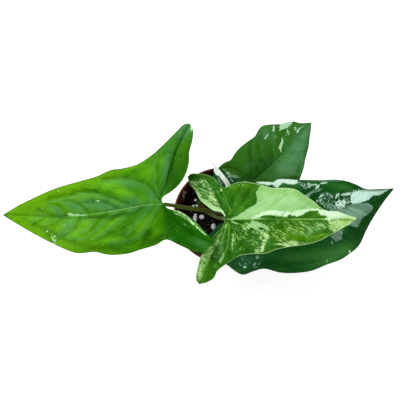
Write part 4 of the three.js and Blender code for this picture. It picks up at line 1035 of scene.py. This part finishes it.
def pot_finish():
    """Brown plastic: lighter on the rim's top, by wear and a painted highlight, scuffed, and
    darker inside below the rim, by grime and painted shade.
    """
    f, tints = Finish("pot_plastic"), POT_TINTS
    at = f.data("plan", "Vector")
    grain = f.noise(at, 2.2, 3.0, 0.7)
    scuff = f.noise(f.stretch(at, 0.5, 0.5, 3.0), 0.7, 4.0, 0.7)
    dust = f.noise(at, 0.35, 4.0, 0.65)
    colour = f.layers(
        f.mix(f.step(f.noise(at, 0.07, 3.0), 0.35, 0.65), *tints["main"]),
        (f.step(scuff, 0.6, 0.76, 0.0, 0.4), tints["scuff"]),
        # the rim's top: wear and a painted highlight
        (f.times(f.data("wear_and_highlight"), f.step(grain, 0.3, 0.7, 0.3, 0.8)), tints["wear_and_highlight"]),
        # inside below the rim: grime and painted shade
        (f.times(f.data("inside"), f.step(dust, 0.4, 0.62, 0.25, 0.9)), tints["grime_and_shade"]),
    )
    for x, y, wide, deep in SCUFFS:
        near = f.stretch(at, 1 / wide, 1 / deep, 0)
        far = f.node("VectorMath", {0: near, 1: (x / wide, y / deep, 0)}, "Value",
                     operation="DISTANCE")
        scuffed = f.step(f.plus(far, f.times(f.less(grain, 0.5), 2.5)), 0.8, 1.2, 0.85, 0.0)
        colour = f.mix(f.times(scuffed, f.data("inside")), colour, tints["scratch"])
    return f.finish(colour, f.plus(f.times(grain, 0.25), 0.42), f.plus(grain, scuff), 0.12, 0.3,
                    (1.0, 0.6, 0.5))


def soil_finish(name, depth):
    """Potting mix, perlite or bark; depth is that of its fine relief."""
    f, tints = Finish(name), SOIL_TINTS[name]
    at = f.data("plan", "Vector")
    crumb = f.noise(at, 2.4, 4.0, 0.7)
    dust = f.cells(at, 1.5, "F1")
    colour = f.layers(
        f.mix(f.step(f.noise(at, 0.45, 4.0, 0.65), 0.35, 0.65), *tints[:2]),
        (f.step(crumb, 0.5, 0.7, 0.0, 0.6), tints[2]),
        (f.step(dust, 0.0, 0.28, 0.25, 0.0), tints[3]),
    )
    return f.finish(colour, f.plus(f.times(crumb, 0.25), 0.72),
                    f.plus(crumb, f.times(dust, 0.7)), depth, 0.12)


# ------------------------------------------------------------------ leaf blades

THICKNESS = 0.46  # in the middle of a blade
# Faces of a half's grid: along its front and its lobe, out to its edge and its inner edge.
ROWS = {"front": 190, "lobe": 96, "across": 52, "inner": 18}
SLANT = {"front": 0.8, "lobe": 1.4}  # how far veins run on per step outwards, and how much more
HALF_APART = 40.0  # keeps the noise of a leaf's two halves apart
# The bright and dark sides of a vein are painted sheen and painted shade.
VEIN_SIDE = 2.6  # how far from a vein its sides look bright or dark
OVAL_FADE = 0.9  # how fast a soft oval fades
# Relief of a blade: random lumps, how far from the rim it starts and is full, half widths of
# veins and ribs, the furrow over the ribs and the keel under them, and the thin rim.
RELIEF = {"lump": 0.16, "lump_size": 9, "starts": 0.3, "full": 3.5, "vein": 2.4, "rib": 2.2,
          "furrow": 0.3, "furrow_width": 0.9, "keel": 0.55, "keel_width": 1.1, "thin": 0.3,
          "thin_width": 0.7}


def grown(edge, shape, side):
    """A half's edge moved outwards; side is 1 for the left half and -1 for the right one."""
    way = np.gradient(edge, axis=0)
    out = np.stack([way[:, 1], -way[:, 0]], axis=1) * side
    out /= np.linalg.norm(out, axis=1)[:, None]
    moved = edge + out * shape["grow"]
    moved[0] = edge[0] + (shape["point"], 0)
    return moved


def fan(on_rib, on_edge, columns, spine, slope, along, back, side):
    """A grid from a rib out to an edge: plan points, heights, the way along the veins, and the
    share of the way down the lobe."""
    share = np.linspace(0, 1, columns + 1)
    width = np.linalg.norm(on_rib - on_edge, axis=1)[:, None]
    plan = on_rib[:, None] * (1 - share)[:, None] + on_edge[:, None] * share[:, None]
    out = width * share
    slant = (SLANT["front"] + SLANT["lobe"] * smooth_step(back, 0, 0.4))[:, None]
    flow = np.stack([along[:, None] - slant * out, side * out], axis=2)
    return plan, spine[:, None] + slope(width, share), flow, back[:, None] + 0 * out


def outer_rows(shape, half, edge, midrib):
    """The grid of a half's front and lobe, from its rib out to its edge."""
    front, lobe = ROWS["front"], ROWS["lobe"]
    row = np.arange(front + lobe + 1)
    back = np.maximum(0, (row - front) / lobe)
    ahead = np.maximum(0, 1 - row / front)
    on_rib = np.where((back > 0)[:, None], catmull(half["rib"][:-1] + [edge[-1]], back),
                      catmull(midrib, 1 - ahead))
    shoulder = half["shoulder"] / (len(edge) - 1)
    way = np.where(back > 0, shoulder + (1 - shoulder) * back, shoulder * (1 - ahead))
    spine = (shape["rise"] * ahead**1.5 + shape["arch"] * np.sin(math.pi * ahead)
             + half["rise"] * back**1.3)
    height, count, phase = half["wave"]
    ripple = height * np.sin(math.pi * way) * np.sin(2 * math.pi * (count * way + phase))
    along = ahead * midrib[0][0] + back * lengths(whole(half["rib"], 40))[-1]

    def slope(width, share):
        return (width * (half["fold"] * share - half["curl"] * share**2)
                + ripple[:, None] * share**2)

    return fan(on_rib, catmull(edge, way), ROWS["across"], spine, slope, along, back, 1)


def inner_rows(shape, half, edge):
    """The grid of the strip between a lobe's rib and its inner edge."""
    back = np.linspace(0, 1, ROWS["lobe"] + 1)
    on_rib = catmull(half["rib"][:-1] + [edge[-1]], back)
    on_edge = catmull([shape["sinus"], *half["inner"][:-1], edge[-1]], back)
    lift = (half["inner_fold"] * np.minimum(1, 4 * back))[:, None]
    along = back * lengths(on_rib)[-1]
    return fan(on_rib, on_edge, ROWS["inner"], half["rise"] * back**1.3,
               lambda width, share: lift * width * share, along, back, -1)


def blade_sheet(shape, midrib):
    """The fine middle surface of a blade: plan points, heights, flow, lobe share and faces."""
    grids, faces = [], []
    start = 0
    for number, half in enumerate(shape["halves"]):
        edge = grown(np.array(half["edge"], float), shape, 1 - 2 * number)
        for grid in (outer_rows(shape, half, edge, midrib), inner_rows(shape, half, edge)):
            plan, z, flow, back = grid
            rings, columns = z.shape
            apart = np.full(z.shape, HALF_APART * number)
            grids.append(np.dstack([plan, z, flow, apart, back]).reshape(-1, 7))
            i, j = np.meshgrid(np.arange(rings - 1), np.arange(columns - 1), indexing="ij")
            a = (start + i * columns + j).ravel()
            faces.append(np.stack([a, a + 1, a + columns + 1, a + columns], axis=1))
            start += rings * columns
    sheet, faces = np.concatenate(grids), np.concatenate(faces)
    _, first, same = np.unique(np.round(sheet[:, :2], 3), axis=0, return_index=True,
                               return_inverse=True)
    faces = same.ravel()[faces]
    sheet = sheet[first]
    corner = sheet[faces][:, :, :2]
    ring = np.roll(corner, -1, axis=1)
    area = (corner[:, :, 0] * ring[:, :, 1] - ring[:, :, 0] * corner[:, :, 1]).sum(axis=1)
    faces[area < 0] = faces[area < 0][:, ::-1]
    kept = []
    for face, size in zip(faces.tolist(), np.abs(area)):
        once = [v for k, v in enumerate(face) if v != face[k - 1]]
        if len(once) > 2 and size > 1e-7:
            kept.append(once)
    return sheet[:, :2], sheet[:, 2], sheet[:, 3:6], sheet[:, 6], kept


def outline_edges(faces):
    """Edges that only one face uses, in that face's direction."""
    seen = {(a, face[(k + 1) % len(face)]) for face in faces for k, a in enumerate(face)}
    return sorted((a, b) for a, b in seen if (b, a) not in seen)


def nearest(points, lines, limit=8.0):
    """Distance from each point to the nearest of some lines, and the side of it that the point
    lies on: 1 towards the leaf's tip and -1 towards its stalk."""
    best, side = np.full(len(points), limit), np.zeros(len(points))
    for line in lines:
        line = np.asarray(line, float)
        near = np.all((points > line.min(0) - limit) & (points < line.max(0) + limit), axis=1)
        some = np.flatnonzero(near)
        hand = np.sign(line[0, 1] - line[-1, 1])
        for a, b in zip(line[:-1], line[1:]):
            way, off = b - a, points[some] - a
            t = np.clip(off @ way / max(way @ way, 1e-9), 0, 1)
            far = np.linalg.norm(off - t[:, None] * way, axis=1)
            closer = far < best[some]
            best[some[closer]] = far[closer]
            side[some[closer]] = hand * np.sign(off[closer] @ (-way[1], way[0]))
    return best, side


def patch_depth(points, outlines, limit=6.0):
    """How deep each point lies inside the nearest outline; negative outside."""
    best = np.full(len(points), -limit)
    x, y = points.T
    for outline in outlines:
        ring = np.vstack([outline, outline[:1]])
        depth = nearest(points, [ring], limit)[0]
        inside = np.zeros(len(points), bool)
        for (ax, ay), (bx, by) in zip(ring[:-1], ring[1:]):
            if ay != by:
                inside ^= ((ay > y) != (by > y)) & (x < ax + (y - ay) * (bx - ax) / (by - ay))
        best = np.maximum(best, np.where(inside, depth, -depth))
    return best


class Leaf:
    """One opened leaf: its fine sheet, and its marks laid on it."""

    def __init__(self, side):
        self.side, self.shape, self.marks = side, SHAPES[side], MARKS[side]
        midrib = np.array(self.shape["midrib"], float)
        midrib[0, 0] += self.shape["point"]
        self.midrib = whole(midrib, 90)
        self.plan, self.z, self.flow, self.back, self.faces = blade_sheet(self.shape, midrib)
        turn = math.radians(self.shape["heading"])
        self.turn = np.array([[math.cos(turn), math.sin(turn)],
                              [-math.sin(turn), math.cos(turn)]])
        self.across = self.plan @ self.turn + self.shape["at"][:2]
        self.scale = VIEW["reach"] / (VIEW["z"] - self.shape["at"][2] - self.z)
        self.seen = (self.across - (VIEW["x"], VIEW["y"])) * self.scale[:, None] * (1, -1)

    def onto(self, points):
        """Plan points of the leaf that are seen at these points of the view."""
        found = []
        for point in np.array(points, float) - VIEW["middle"]:
            off = point - self.seen
            near = np.argmin((off**2).sum(axis=1))
            shift = off[near] / self.scale[near] * (1, -1)
            found.append(self.plan[near] + self.turn @ shift)
        return np.array(found)

    def tone(self, ovals):
        """Strength of some soft ovals at each point."""
        rest = np.ones(len(self.plan))
        for x, y, long_, wide, turn, strength in ovals:
            angle = math.radians(turn)
            ends = [(x, y), (x + math.cos(angle), y + math.sin(angle))]
            middle, ahead = self.onto(ends)
            way = ahead - middle
            size = np.linalg.norm(way)
            dx, dy = ((self.plan - middle) @ np.stack([way, (-way[1], way[0])], 1)).T / size**2
            far = (dx / long_) ** 2 + (dy / wide) ** 2
            rest *= 1 - strength * np.exp(-OVAL_FADE * far)
        return 1 - rest

    def paint(self):
        """Named values at the sheet's points, for the leaf's material."""
        x, y = self.plan.T
        look, marks, far = LOOKS[self.side], self.marks, self.shape["midrib"][0][0]
        edges = [self.plan[[a, b]] for a, b in outline_edges(self.faces)]
        spines = [whole(half["rib"], 60) for half in self.shape["halves"]]
        veins = [whole(self.onto(vein), 8 * len(vein)) for vein in marks["veins"]]
        lateral, side = nearest(self.plan, veins)
        # which side of a vein a point lies on, fading away from it; it places painted sheen and painted
        # shade
        facing = side * (1 - bump(lateral, 0, 0.5)) * np.exp(-lateral / VEIN_SIDE)
        rays = [whole(self.onto(ray), 30) for ray in marks.get("rays", [])]
        scratches = [self.onto(line) for line in marks.get("scratch", [])]
        lobes = np.where(self.flow[:, 2] > 0, look["lobes"][1], look["lobes"][0])
        values = {
            "plan": np.stack([x, y, 0 * x], axis=1), "flow": self.flow,
            "rim": nearest(self.plan, edges, 6.0)[0],
            "rib": nearest(self.plan, [self.midrib])[0],
            "spine": nearest(self.plan, spines)[0],
            "lateral": lateral, "facing": facing,
            "ray": nearest(self.plan, rays, 3.0)[0],
            "scratch": nearest(self.plan, scratches, 2.0)[0],
            "reach": x / far, "line": np.interp(x / far, *look["line"]),
            "lobe": smooth_step(self.back, 0.0, 0.5) * lobes, "fleck": 0 * x,
        }
        for key in ("pale", "light", "green"):
            outlines = [self.onto(outline) for outline in marks.get(key, [])]
            values[key] = patch_depth(self.plan, outlines)
        for density, outline in marks.get("flecks", []):
            depth = patch_depth(self.plan, [self.onto(outline)])
            soft = density * smooth_step(depth, -1.5, 1.5)
            values["fleck"] = np.maximum(values["fleck"], soft)
        # soft ovals: sheen is a painted highlight, and dark is partly painted shade
        for key in ("sheen", "warm", "bright", "dark"):
            values[key] = self.tone(marks.get(key, []))
        return values


def make_blade(side):
    """A leaf blade: two sheets, over and under its middle surface, joined round the rim."""
    leaf, size = Leaf(side), RELIEF
    values = leaf.paint()
    x, y = leaf.plan.T
    rim, near = values["rim"], np.minimum(values["rib"], values["spine"])
    inward = smooth_step(rim, size["starts"], size["full"])
    between = 1 - bump(values["lateral"], 0, size["vein"])
    quilt = LOOKS[side]["quilt"] * between * (1 - bump(near, 0, size["rib"]))
    lumps = size["lump"] * rough(x + 200, y + 200, size["lump_size"], 2, 5)
    relief = (quilt + lumps) * inward
    round_rim = np.sqrt(1 - (1 - np.clip(rim / size["thin_width"], 0, 1)) ** 2)
    thick = 0.5 * THICKNESS * (size["thin"] + (1 - size["thin"]) * round_rim)
    middle = leaf.shape["at"][2] + leaf.z + relief
    top = middle + thick - size["furrow"] * bump(near, 0, size["furrow_width"]) * inward
    low = middle - thick - size["keel"] * bump(near, 0, size["keel_width"]) * inward
    count = len(x)
    body = leaf.faces + [[v + count for v in face[::-1]] for face in leaf.faces]
    body += [[b, a, a + count, b + count] for a, b in outline_edges(leaf.faces)]
    points = np.concatenate([np.column_stack([leaf.across, z]) for z in (top, low)])
    values = {key: np.concatenate([value, value]) for key, value in values.items()}
    values["under"] = np.arange(2 * count) >= count
    piece = make_piece("leaf_" + side, points, body, values, blade_finish(side))
    return place(piece, "blade_" + side, "blade_" + side)


# ------------------------------------------------------------------ stems and stalks


def stalk_radius(along, angle):
    """A leaf stalk: thick at the foot, where it opens into a sheath with two thin wings, and
    slightly flattened above."""
    foot = max(0.0, 1 - along / STALK["foot_part"]) ** 1.5
    base = STALK["radius"] + STALK["foot"] * foot - STALK["thinner"] * along**3
    base *= 1 - 0.45 * smooth_step(along, 0.975, 1.0)
    turn = around(angle)
    wings = (bump(turn, -0.8, 0.22) + bump(turn, 0.8, 0.22)) * min(1.0, 1.6 * foot)
    return base * (1 + 0.02 * np.cos(9 * angle) - 0.1 * bump(turn, 0, 0.45) + 0.26 * wings)


def make_stalk(side, finish):
    """The stalk of an opened leaf, up to the underside of its blade."""
    line = evenly(STALKS[side], 120)
    line[:, 2] = np.minimum(line[:, 2], SHAPES[side]["at"][2] - 0.35)
    piece = make_limb("stalk_" + side, line, stalk_radius, STALK["sides"], (0.3, 0.2, 1), finish)
    return place(piece, "petiole", "petiole_" + side)


def make_stem(name, finish):
    """A stem with swollen nodes and shallow flutes."""
    stem = STEMS[name]

    def radius(along, angle):
        node = 0.06 * math.cos(along * 6 * math.pi)
        lip = 0.05 * bump((along * 3 + 0.42) % 1, 0.5, 0.06)
        flutes = 0.025 * np.cos(5 * angle + 4 * along)
        end = 1 - 0.5 * smooth_step(along, 0.94, 1.0)
        return stem["radius"] * (1 + node + lip - 0.1 * along + flutes) * end

    piece = make_limb("stem_" + name + "_fine", evenly(stem["path"], 90), radius, 40, (1, 0, 0),
                      finish)
    return place(piece, "stem", "stem_" + name)


def make_new_stalk(finish):
    """The new leaf's stalk, grooved along one side."""
    line = evenly(NEW_LEAF["path"], 80, 0, NEW_LEAF["blade_from"] + 0.02)

    def radius(along, angle):
        groove = 0.08 * bump(around(angle), 0, 0.5)
        return NEW_LEAF["stalk"] * (1 - 0.12 * along + 0.02 * np.cos(9 * angle) - groove)

    piece = make_limb("stalk_new", line, radius, STALK["sides"], (1, 0, 0), finish)
    return place(piece, "petiole", "petiole_new")


def make_new_blade():
    """The new leaf is one thin sheet rolled round itself, a turn and a half, into a spear."""
    size = NEW_LEAF
    steps, rounds = size["steps"], size["rounds"]
    whole_turn = 2 * math.pi * size["turns"]
    line = evenly(size["path"], steps, size["blade_from"], 1)
    share = np.linspace(0, 1, rounds)
    turn = (whole_turn * share)[:, None]
    grids, spans, seams = [], [], []
    for k, (centre, normal, across) in enumerate(frames(line, (-0.75, -0.55, 0.1))):
        along = k / (steps - 1)
        taper = (1 - along**7) ** 0.7 * (1 - 0.36 * along)
        outer = size["tip"] + (size["blade"] - size["tip"]) * taper
        outer *= 1 - 0.02 * math.sin(23 * along)
        loose = smooth_step(along, 0.78, 0.83) * smooth_step(along, 0.93, 0.88)
        r = outer * (1 - size["tighter"] * share) + size["flap"] * loose * bump(share, 0, 0.035)
        grids.append(centre + r[:, None] * (np.cos(turn) * normal + np.sin(turn) * across))
        spans.append(np.stack([share * 9, np.full(rounds, along * size["length"]),
                               np.full(rounds, along)], axis=1))
        seams.append(whole_turn * share * outer)
    flat = np.concatenate(grids)
    inward = np.repeat(line, rounds, axis=0) - flat
    reach = np.maximum(np.linalg.norm(inward, axis=1), 1e-6)[:, None]
    inner = flat + inward / reach * np.minimum(size["thickness"], 0.12 * reach)
    faces = []
    count = len(flat)
    for i in range(steps - 1):
        for a in range(i * rounds, (i + 1) * rounds - 1):
            faces.append([a, a + 1, a + rounds + 1, a + rounds])
            faces.append([v + count for v in faces[-1][::-1]])
    sheet = faces[::2]
    faces += [[b, a, a + count, b + count] for a, b in outline_edges(sheet)]
    piece = make_piece("leaf_new", np.concatenate([flat, inner]), faces,
                       {"span": np.concatenate(spans * 2), "seam": np.concatenate(seams * 2)},
                       new_leaf_finish())
    return place(piece, "blade_new", "blade_new")


# ------------------------------------------------------------------ pot


def pot_inside(z):
    """The radius of the pot's inside at a height below the collar."""
    return POT["base"] - POT["wall"] + (POT["neck"] - POT["base"]) * z / (
        POT["height"] - POT["collar"])


def rounded(corners, steps=5):
    """A profile with its corners rounded, from rows of (radius, height, size of rounding)."""
    corners = np.asarray(corners, float)
    profile, sizes = corners[:, :2], corners[:, 2]
    points = []
    for k, (corner, size) in enumerate(zip(profile, sizes)):
        if size == 0:
            points.append(corner)
            continue
        ends = []
        for other in (profile[k - 1], profile[k + 1]):
            way = other - corner
            length = np.linalg.norm(way)
            ends.append(corner + way / length * min(size, 0.45 * length))
        for t in np.linspace(0, 1, steps):
            points.append((1 - t) ** 2 * ends[0] + 2 * t * (1 - t) * corner + t * t * ends[1])
    return np.array(points)


def pot_profile():
    """The pot's section, from the middle of its underside over the rim to the floor inside."""
    p = POT
    lip, wall, top = p["lip"], p["wall"], p["height"]
    band = top - p["collar"]
    collar = p["rim"] - lip / 2
    foot = collar - p["slope"] / 2
    return rounded([
        (0, 0, 0), (p["base"] - p["foot"], 0, 0.6), (p["base"], p["foot"], 0.6),
        (p["neck"], band, 0.5), (foot, band + p["slope"], 0.5), (collar, top - 1.6 * lip, 0.4),
        (p["rim"], top - lip, 0.5), (p["rim"], top - 0.3 * lip, 0.5),
        (p["rim"] - 0.3 * lip, top, 0.5), (p["rim"] - 0.9 * lip, top, 0.5),
        (collar - wall, top - lip, 0.4), (foot - wall, band + p["slope"] + 0.8 * wall, 0.5),
        (pot_inside(band), band + 0.5 * wall, 0.5), (pot_inside(p["floor"]), p["floor"], 0.6),
        (0, p["floor"], 0),
    ])


def pot_marks(points, inside):
    """Where the rim's top gets wear and a painted highlight, and where the inside below the rim
    gets grime and painted shade.
    """
    x, y, z = points.T
    # wear and a painted highlight on the rim's top
    wear_and_highlight = smooth_step(z, POT["height"] - 1.2, POT["height"] - 0.3) * smooth_step(
        np.hypot(x, y), POT["rim"] - 2.2, POT["rim"] - 1.4)
    # grime and painted shade inside, darker from just below the rim downwards
    grimy_and_shaded = inside * smooth_step(z, POT["height"] - 1, POT["height"] - 6)
    return {"plan": points, "inside": grimy_and_shaded, "wear_and_highlight": wear_and_highlight}


def make_pot():
    """The pot: its section turned round, with drainage holes."""
    profile, sectors = pot_profile(), POT["sectors"]
    angle = np.linspace(0, 2 * math.pi, sectors, endpoint=False)
    top = np.argmax(profile[:, 1])
    rings = profile[1:-1]
    points = np.concatenate([
        *(np.stack([r * np.cos(angle), r * np.sin(angle), 0 * angle + z], 1) for r, z in rings),
        [[0, 0, 0]], [[0, 0, POT["floor"]]]])
    low = len(rings) * sectors
    faces = ring_faces(len(rings), sectors, caps=False)
    for i in range(sectors):
        j = (i + 1) % sectors
        faces.append([low, j, i])
        faces.append([low + 1, low - sectors + i, low - sectors + j])
    inside = np.r_[np.repeat(np.arange(len(rings)) > top + 5, sectors), False, True]
    pot = make_piece("nursery_pot", points, faces, pot_marks(points, inside), pot_finish())
    drain(pot)
    return place(pot, "pot", "pot")


def drain(pot):
    """Drills the drainage holes."""
    drill = bmesh.new()
    for k in range(DRAINS["count"]):
        turn = 2 * math.pi * (k + 0.5) / DRAINS["count"]
        hole = bmesh.ops.create_cone(
            drill, cap_ends=True, segments=DRAINS["sides"], radius1=DRAINS["radius"] * MM,
            radius2=DRAINS["radius"] * MM, depth=4 * POT["floor"] * MM)
        shift = Vector((math.cos(turn), math.sin(turn), 0)) * DRAINS["circle"] * MM
        bmesh.ops.translate(drill, verts=hole["verts"], vec=shift)
    mesh = bpy.data.meshes.new("drill")
    drill.to_mesh(mesh)
    tool = add_object("drill", mesh)
    cut = pot.modifiers.new("drains", "BOOLEAN")
    cut.operation, cut.solver, cut.object = "DIFFERENCE", "EXACT", tool
    view = bpy.context.evaluated_depsgraph_get()
    drained = bpy.data.meshes.new_from_object(pot.evaluated_get(view))
    pot.modifiers.clear()
    pot.data = drained
    bpy.data.objects.remove(tool)


# ------------------------------------------------------------------ soil


def soil_height(x, y):
    """The height of the soil's top."""
    share = np.minimum(1, np.hypot(x, y) / pot_inside(SOIL["top"]))
    waves = np.sin(SOIL["wave_x"] * x + 1) * np.cos(SOIL["wave_y"] * y)
    smooth = SOIL["top"] + SOIL["dome"] * (1 - share**2) + SOIL["lump"] * waves * (1 - share**4)
    return smooth + SOIL["crumb"] * rough(x + 90, y + 90, SOIL["crumb_size"], 5, 21)


def make_soil():
    """The soil: rings up the inside of the pot, then inwards over its uneven top."""
    rings, sectors = SOIL["rings"], SOIL["sectors"]
    angle = np.linspace(0, 2 * math.pi, sectors, endpoint=False)
    under = [(z, pot_inside(z) - 0.4) for z in (POT["floor"] + 0.3, 20, 40)]
    edge = pot_inside(SOIL["top"]) - SOIL["gap"]
    over = [(None, edge * (1 - k / rings)) for k in range(rings)]
    points = []
    for z, r in under + over:
        x, y = r * np.cos(angle), r * np.sin(angle)
        points.append(np.stack([x, y, soil_height(x, y) if z is None else 0 * x + z], 1))
    points = np.concatenate(points)
    piece = make_piece("potting_mix", points, ring_faces(len(under + over), sectors),
                       {"plan": points}, soil_finish("potting_mix", 0.5))
    return place(piece, "soil", "soil")


def lump(x, y, size, turn, seed, sunk, detail=2, uneven=0.22):
    """Points and faces of one rough grain, its middle `sunk` above the soil's surface."""
    ball = bmesh.new()
    bmesh.ops.create_icosphere(ball, subdivisions=detail, radius=0.5)
    points = np.array([v.co for v in ball.verts])
    faces = [[v.index for v in face.verts] for face in ball.faces]
    ball.free()
    px, py, pz = points.T
    swell = 1 + uneven * rough(2 * px + py + 50 + seed, 2 * py - pz + 50, 1.0, 2, seed)
    points = points * swell[:, None] * np.asarray(size)
    c, s = math.cos(turn), math.sin(turn)
    points = points @ np.array([[c, s, 0], [-s, c, 0], [0, 0, 1]])
    return points + (x, y, float(soil_height(x, y)) + sunk), faces


def heap(name, lumps, finish):
    """One piece from many grains."""
    points, faces, start = [], [], 0
    for some, sides in lumps:
        points.append(some)
        faces += [[v + start for v in side] for side in sides]
        start += len(some)
    points = np.concatenate(points)
    return place(make_piece(name, points, faces, {"plan": points}, finish), "soil")


def scattered(random, count, room):
    """Random places on the soil that are clear of the stems."""
    for k in range(count):
        r = (pot_inside(SOIL["top"]) - 2.5) * math.sqrt(random.random())
        turn = 2 * math.pi * random.random()
        x, y = r * math.cos(turn), r * math.sin(turn)
        if all(math.hypot(x - stem["path"][1][0], y - stem["path"][1][1])
               > stem["radius"] + room for stem in STEMS.values()):
            yield k, x, y, turn


def make_grains():
    """Perlite and bark on the soil."""
    random = np.random.default_rng(4)
    stones = []
    for k, (x, y, long_, wide) in enumerate(PERLITE):
        thick = 0.9 * min(long_, wide)
        stones.append(lump(x, y, (long_, wide, thick), 0, 60 + k, 0.25 * thick, 4, 0.12))
    for k, x, y, turn in scattered(random, CRUMBS["tries"], CRUMBS["room"]):
        size = CRUMBS["least"] + CRUMBS["more"] * random.random() ** 2
        stones.append(lump(x, y, (size, size * 0.8, size * 0.8), turn, 200 + k, 0.15 * size))
    heap("perlite", stones, soil_finish("perlite", 0.3))
    chips = []
    for k, x, y, _ in scattered(random, CHIPS["tries"], CHIPS["room"]):
        long_ = CHIPS["least"] + CHIPS["more"] * random.random() ** 2
        size = (long_, long_ * (0.35 + 0.3 * random.random()), CHIPS["thick"])
        chips.append(lump(x, y, size, math.pi * random.random(), 400 + k, 0.1, 2, 0.34))
    heap("bark", chips, soil_finish("bark", 0.4))


# ------------------------------------------------------------------ floor, lights and camera
#
# In metres. Each lamp: its place, its width, its power in watts and its colour.

FLOOR = {"half": 3, "tints": ("f6f6f4", "fafaf9"), "glow": 0.4}
LAMPS = {
    "key": ((-0.5, 0.42, 0.85), 0.55, 6.4, (1, 0.985, 0.96)),
    "fill": ((0.6, -0.35, 0.8), 0.8, 2.6, (0.95, 0.98, 1)),
}
LAMPS_AIM = (0, 0, 0.13)
SKY = 0.5
WHITE = (1, 1, 1, 1)
SENSOR = 36  # width in millimetres


def make_floor():
    """A pale floor that glows a little, so that it stays as white as the photo's."""
    f = Finish("floor")
    tint = f.noise(f.node("TexCoord", {}, "Object"), 3.0, 3.0)
    colour = f.mix(f.step(tint, 0.3, 0.7), *FLOOR["tints"])
    material = f.finish(colour, f.plus(f.times(tint, 0.1), 0.7), tint, 0.01, 0.1)
    f.glow(WHITE, FLOOR["glow"])
    mesh = bpy.data.meshes.new("floor")
    half = FLOOR["half"]
    corners = [(-half, -half, 0), (half, -half, 0), (half, half, 0), (-half, half, 0)]
    mesh.from_pydata(corners, [], [[0, 1, 2, 3]])
    mesh.materials.append(material)
    add_object("floor", mesh)


def make_light(name, at, size, energy, colour):
    """A round lamp that looks at the plant."""
    light = bpy.data.lights.new(name, "AREA")
    light.shape, light.size, light.energy, light.color = "DISK", size, energy, colour
    lamp = add_object(name, light)
    lamp.location = at
    way = Vector(LAMPS_AIM) - Vector(at)
    lamp.rotation_euler = way.to_track_quat("-Z", "Y").to_euler()


def make_camera():
    """The camera of the view from straight above."""
    lens = bpy.data.cameras.new("camera")
    lens.sensor_width = SENSOR
    lens.lens = SENSOR * VIEW["reach"] / (2 * VIEW["middle"])
    lens.clip_start, lens.clip_end = 0.01, 20
    camera = add_object("camera", lens)
    camera.location = Vector((VIEW["x"], VIEW["y"], VIEW["z"])) * MM
    bpy.context.scene.camera = camera


def set_stage():
    """Floor, lamps, pale surroundings and camera."""
    make_floor()
    for name, lamp in LAMPS.items():
        make_light(name, *lamp)
    world = bpy.data.worlds.new("studio")
    world.use_nodes = True
    background = world.node_tree.nodes["Background"]
    background.inputs["Color"].default_value = WHITE
    background.inputs["Strength"].default_value = SKY
    bpy.context.scene.world = world
    bpy.context.scene.view_settings.view_transform = "Standard"
    make_camera()


# ------------------------------------------------------------------ the plant

make_pot()
make_soil()
make_grains()
stem_skin = stalk_finish("stem_skin", foot="0c3404", top="103c04", dark="1c2a08")
stalk_skin = stalk_finish("stalk_skin", foot="362600", top="425206", dark="281a00")
for name in STEMS:
    make_stem(name, stem_skin)
for side in SHAPES:
    make_stalk(side, stalk_skin)
    make_blade(side)
make_new_stalk(stalk_skin)
make_new_blade()
set_stage()
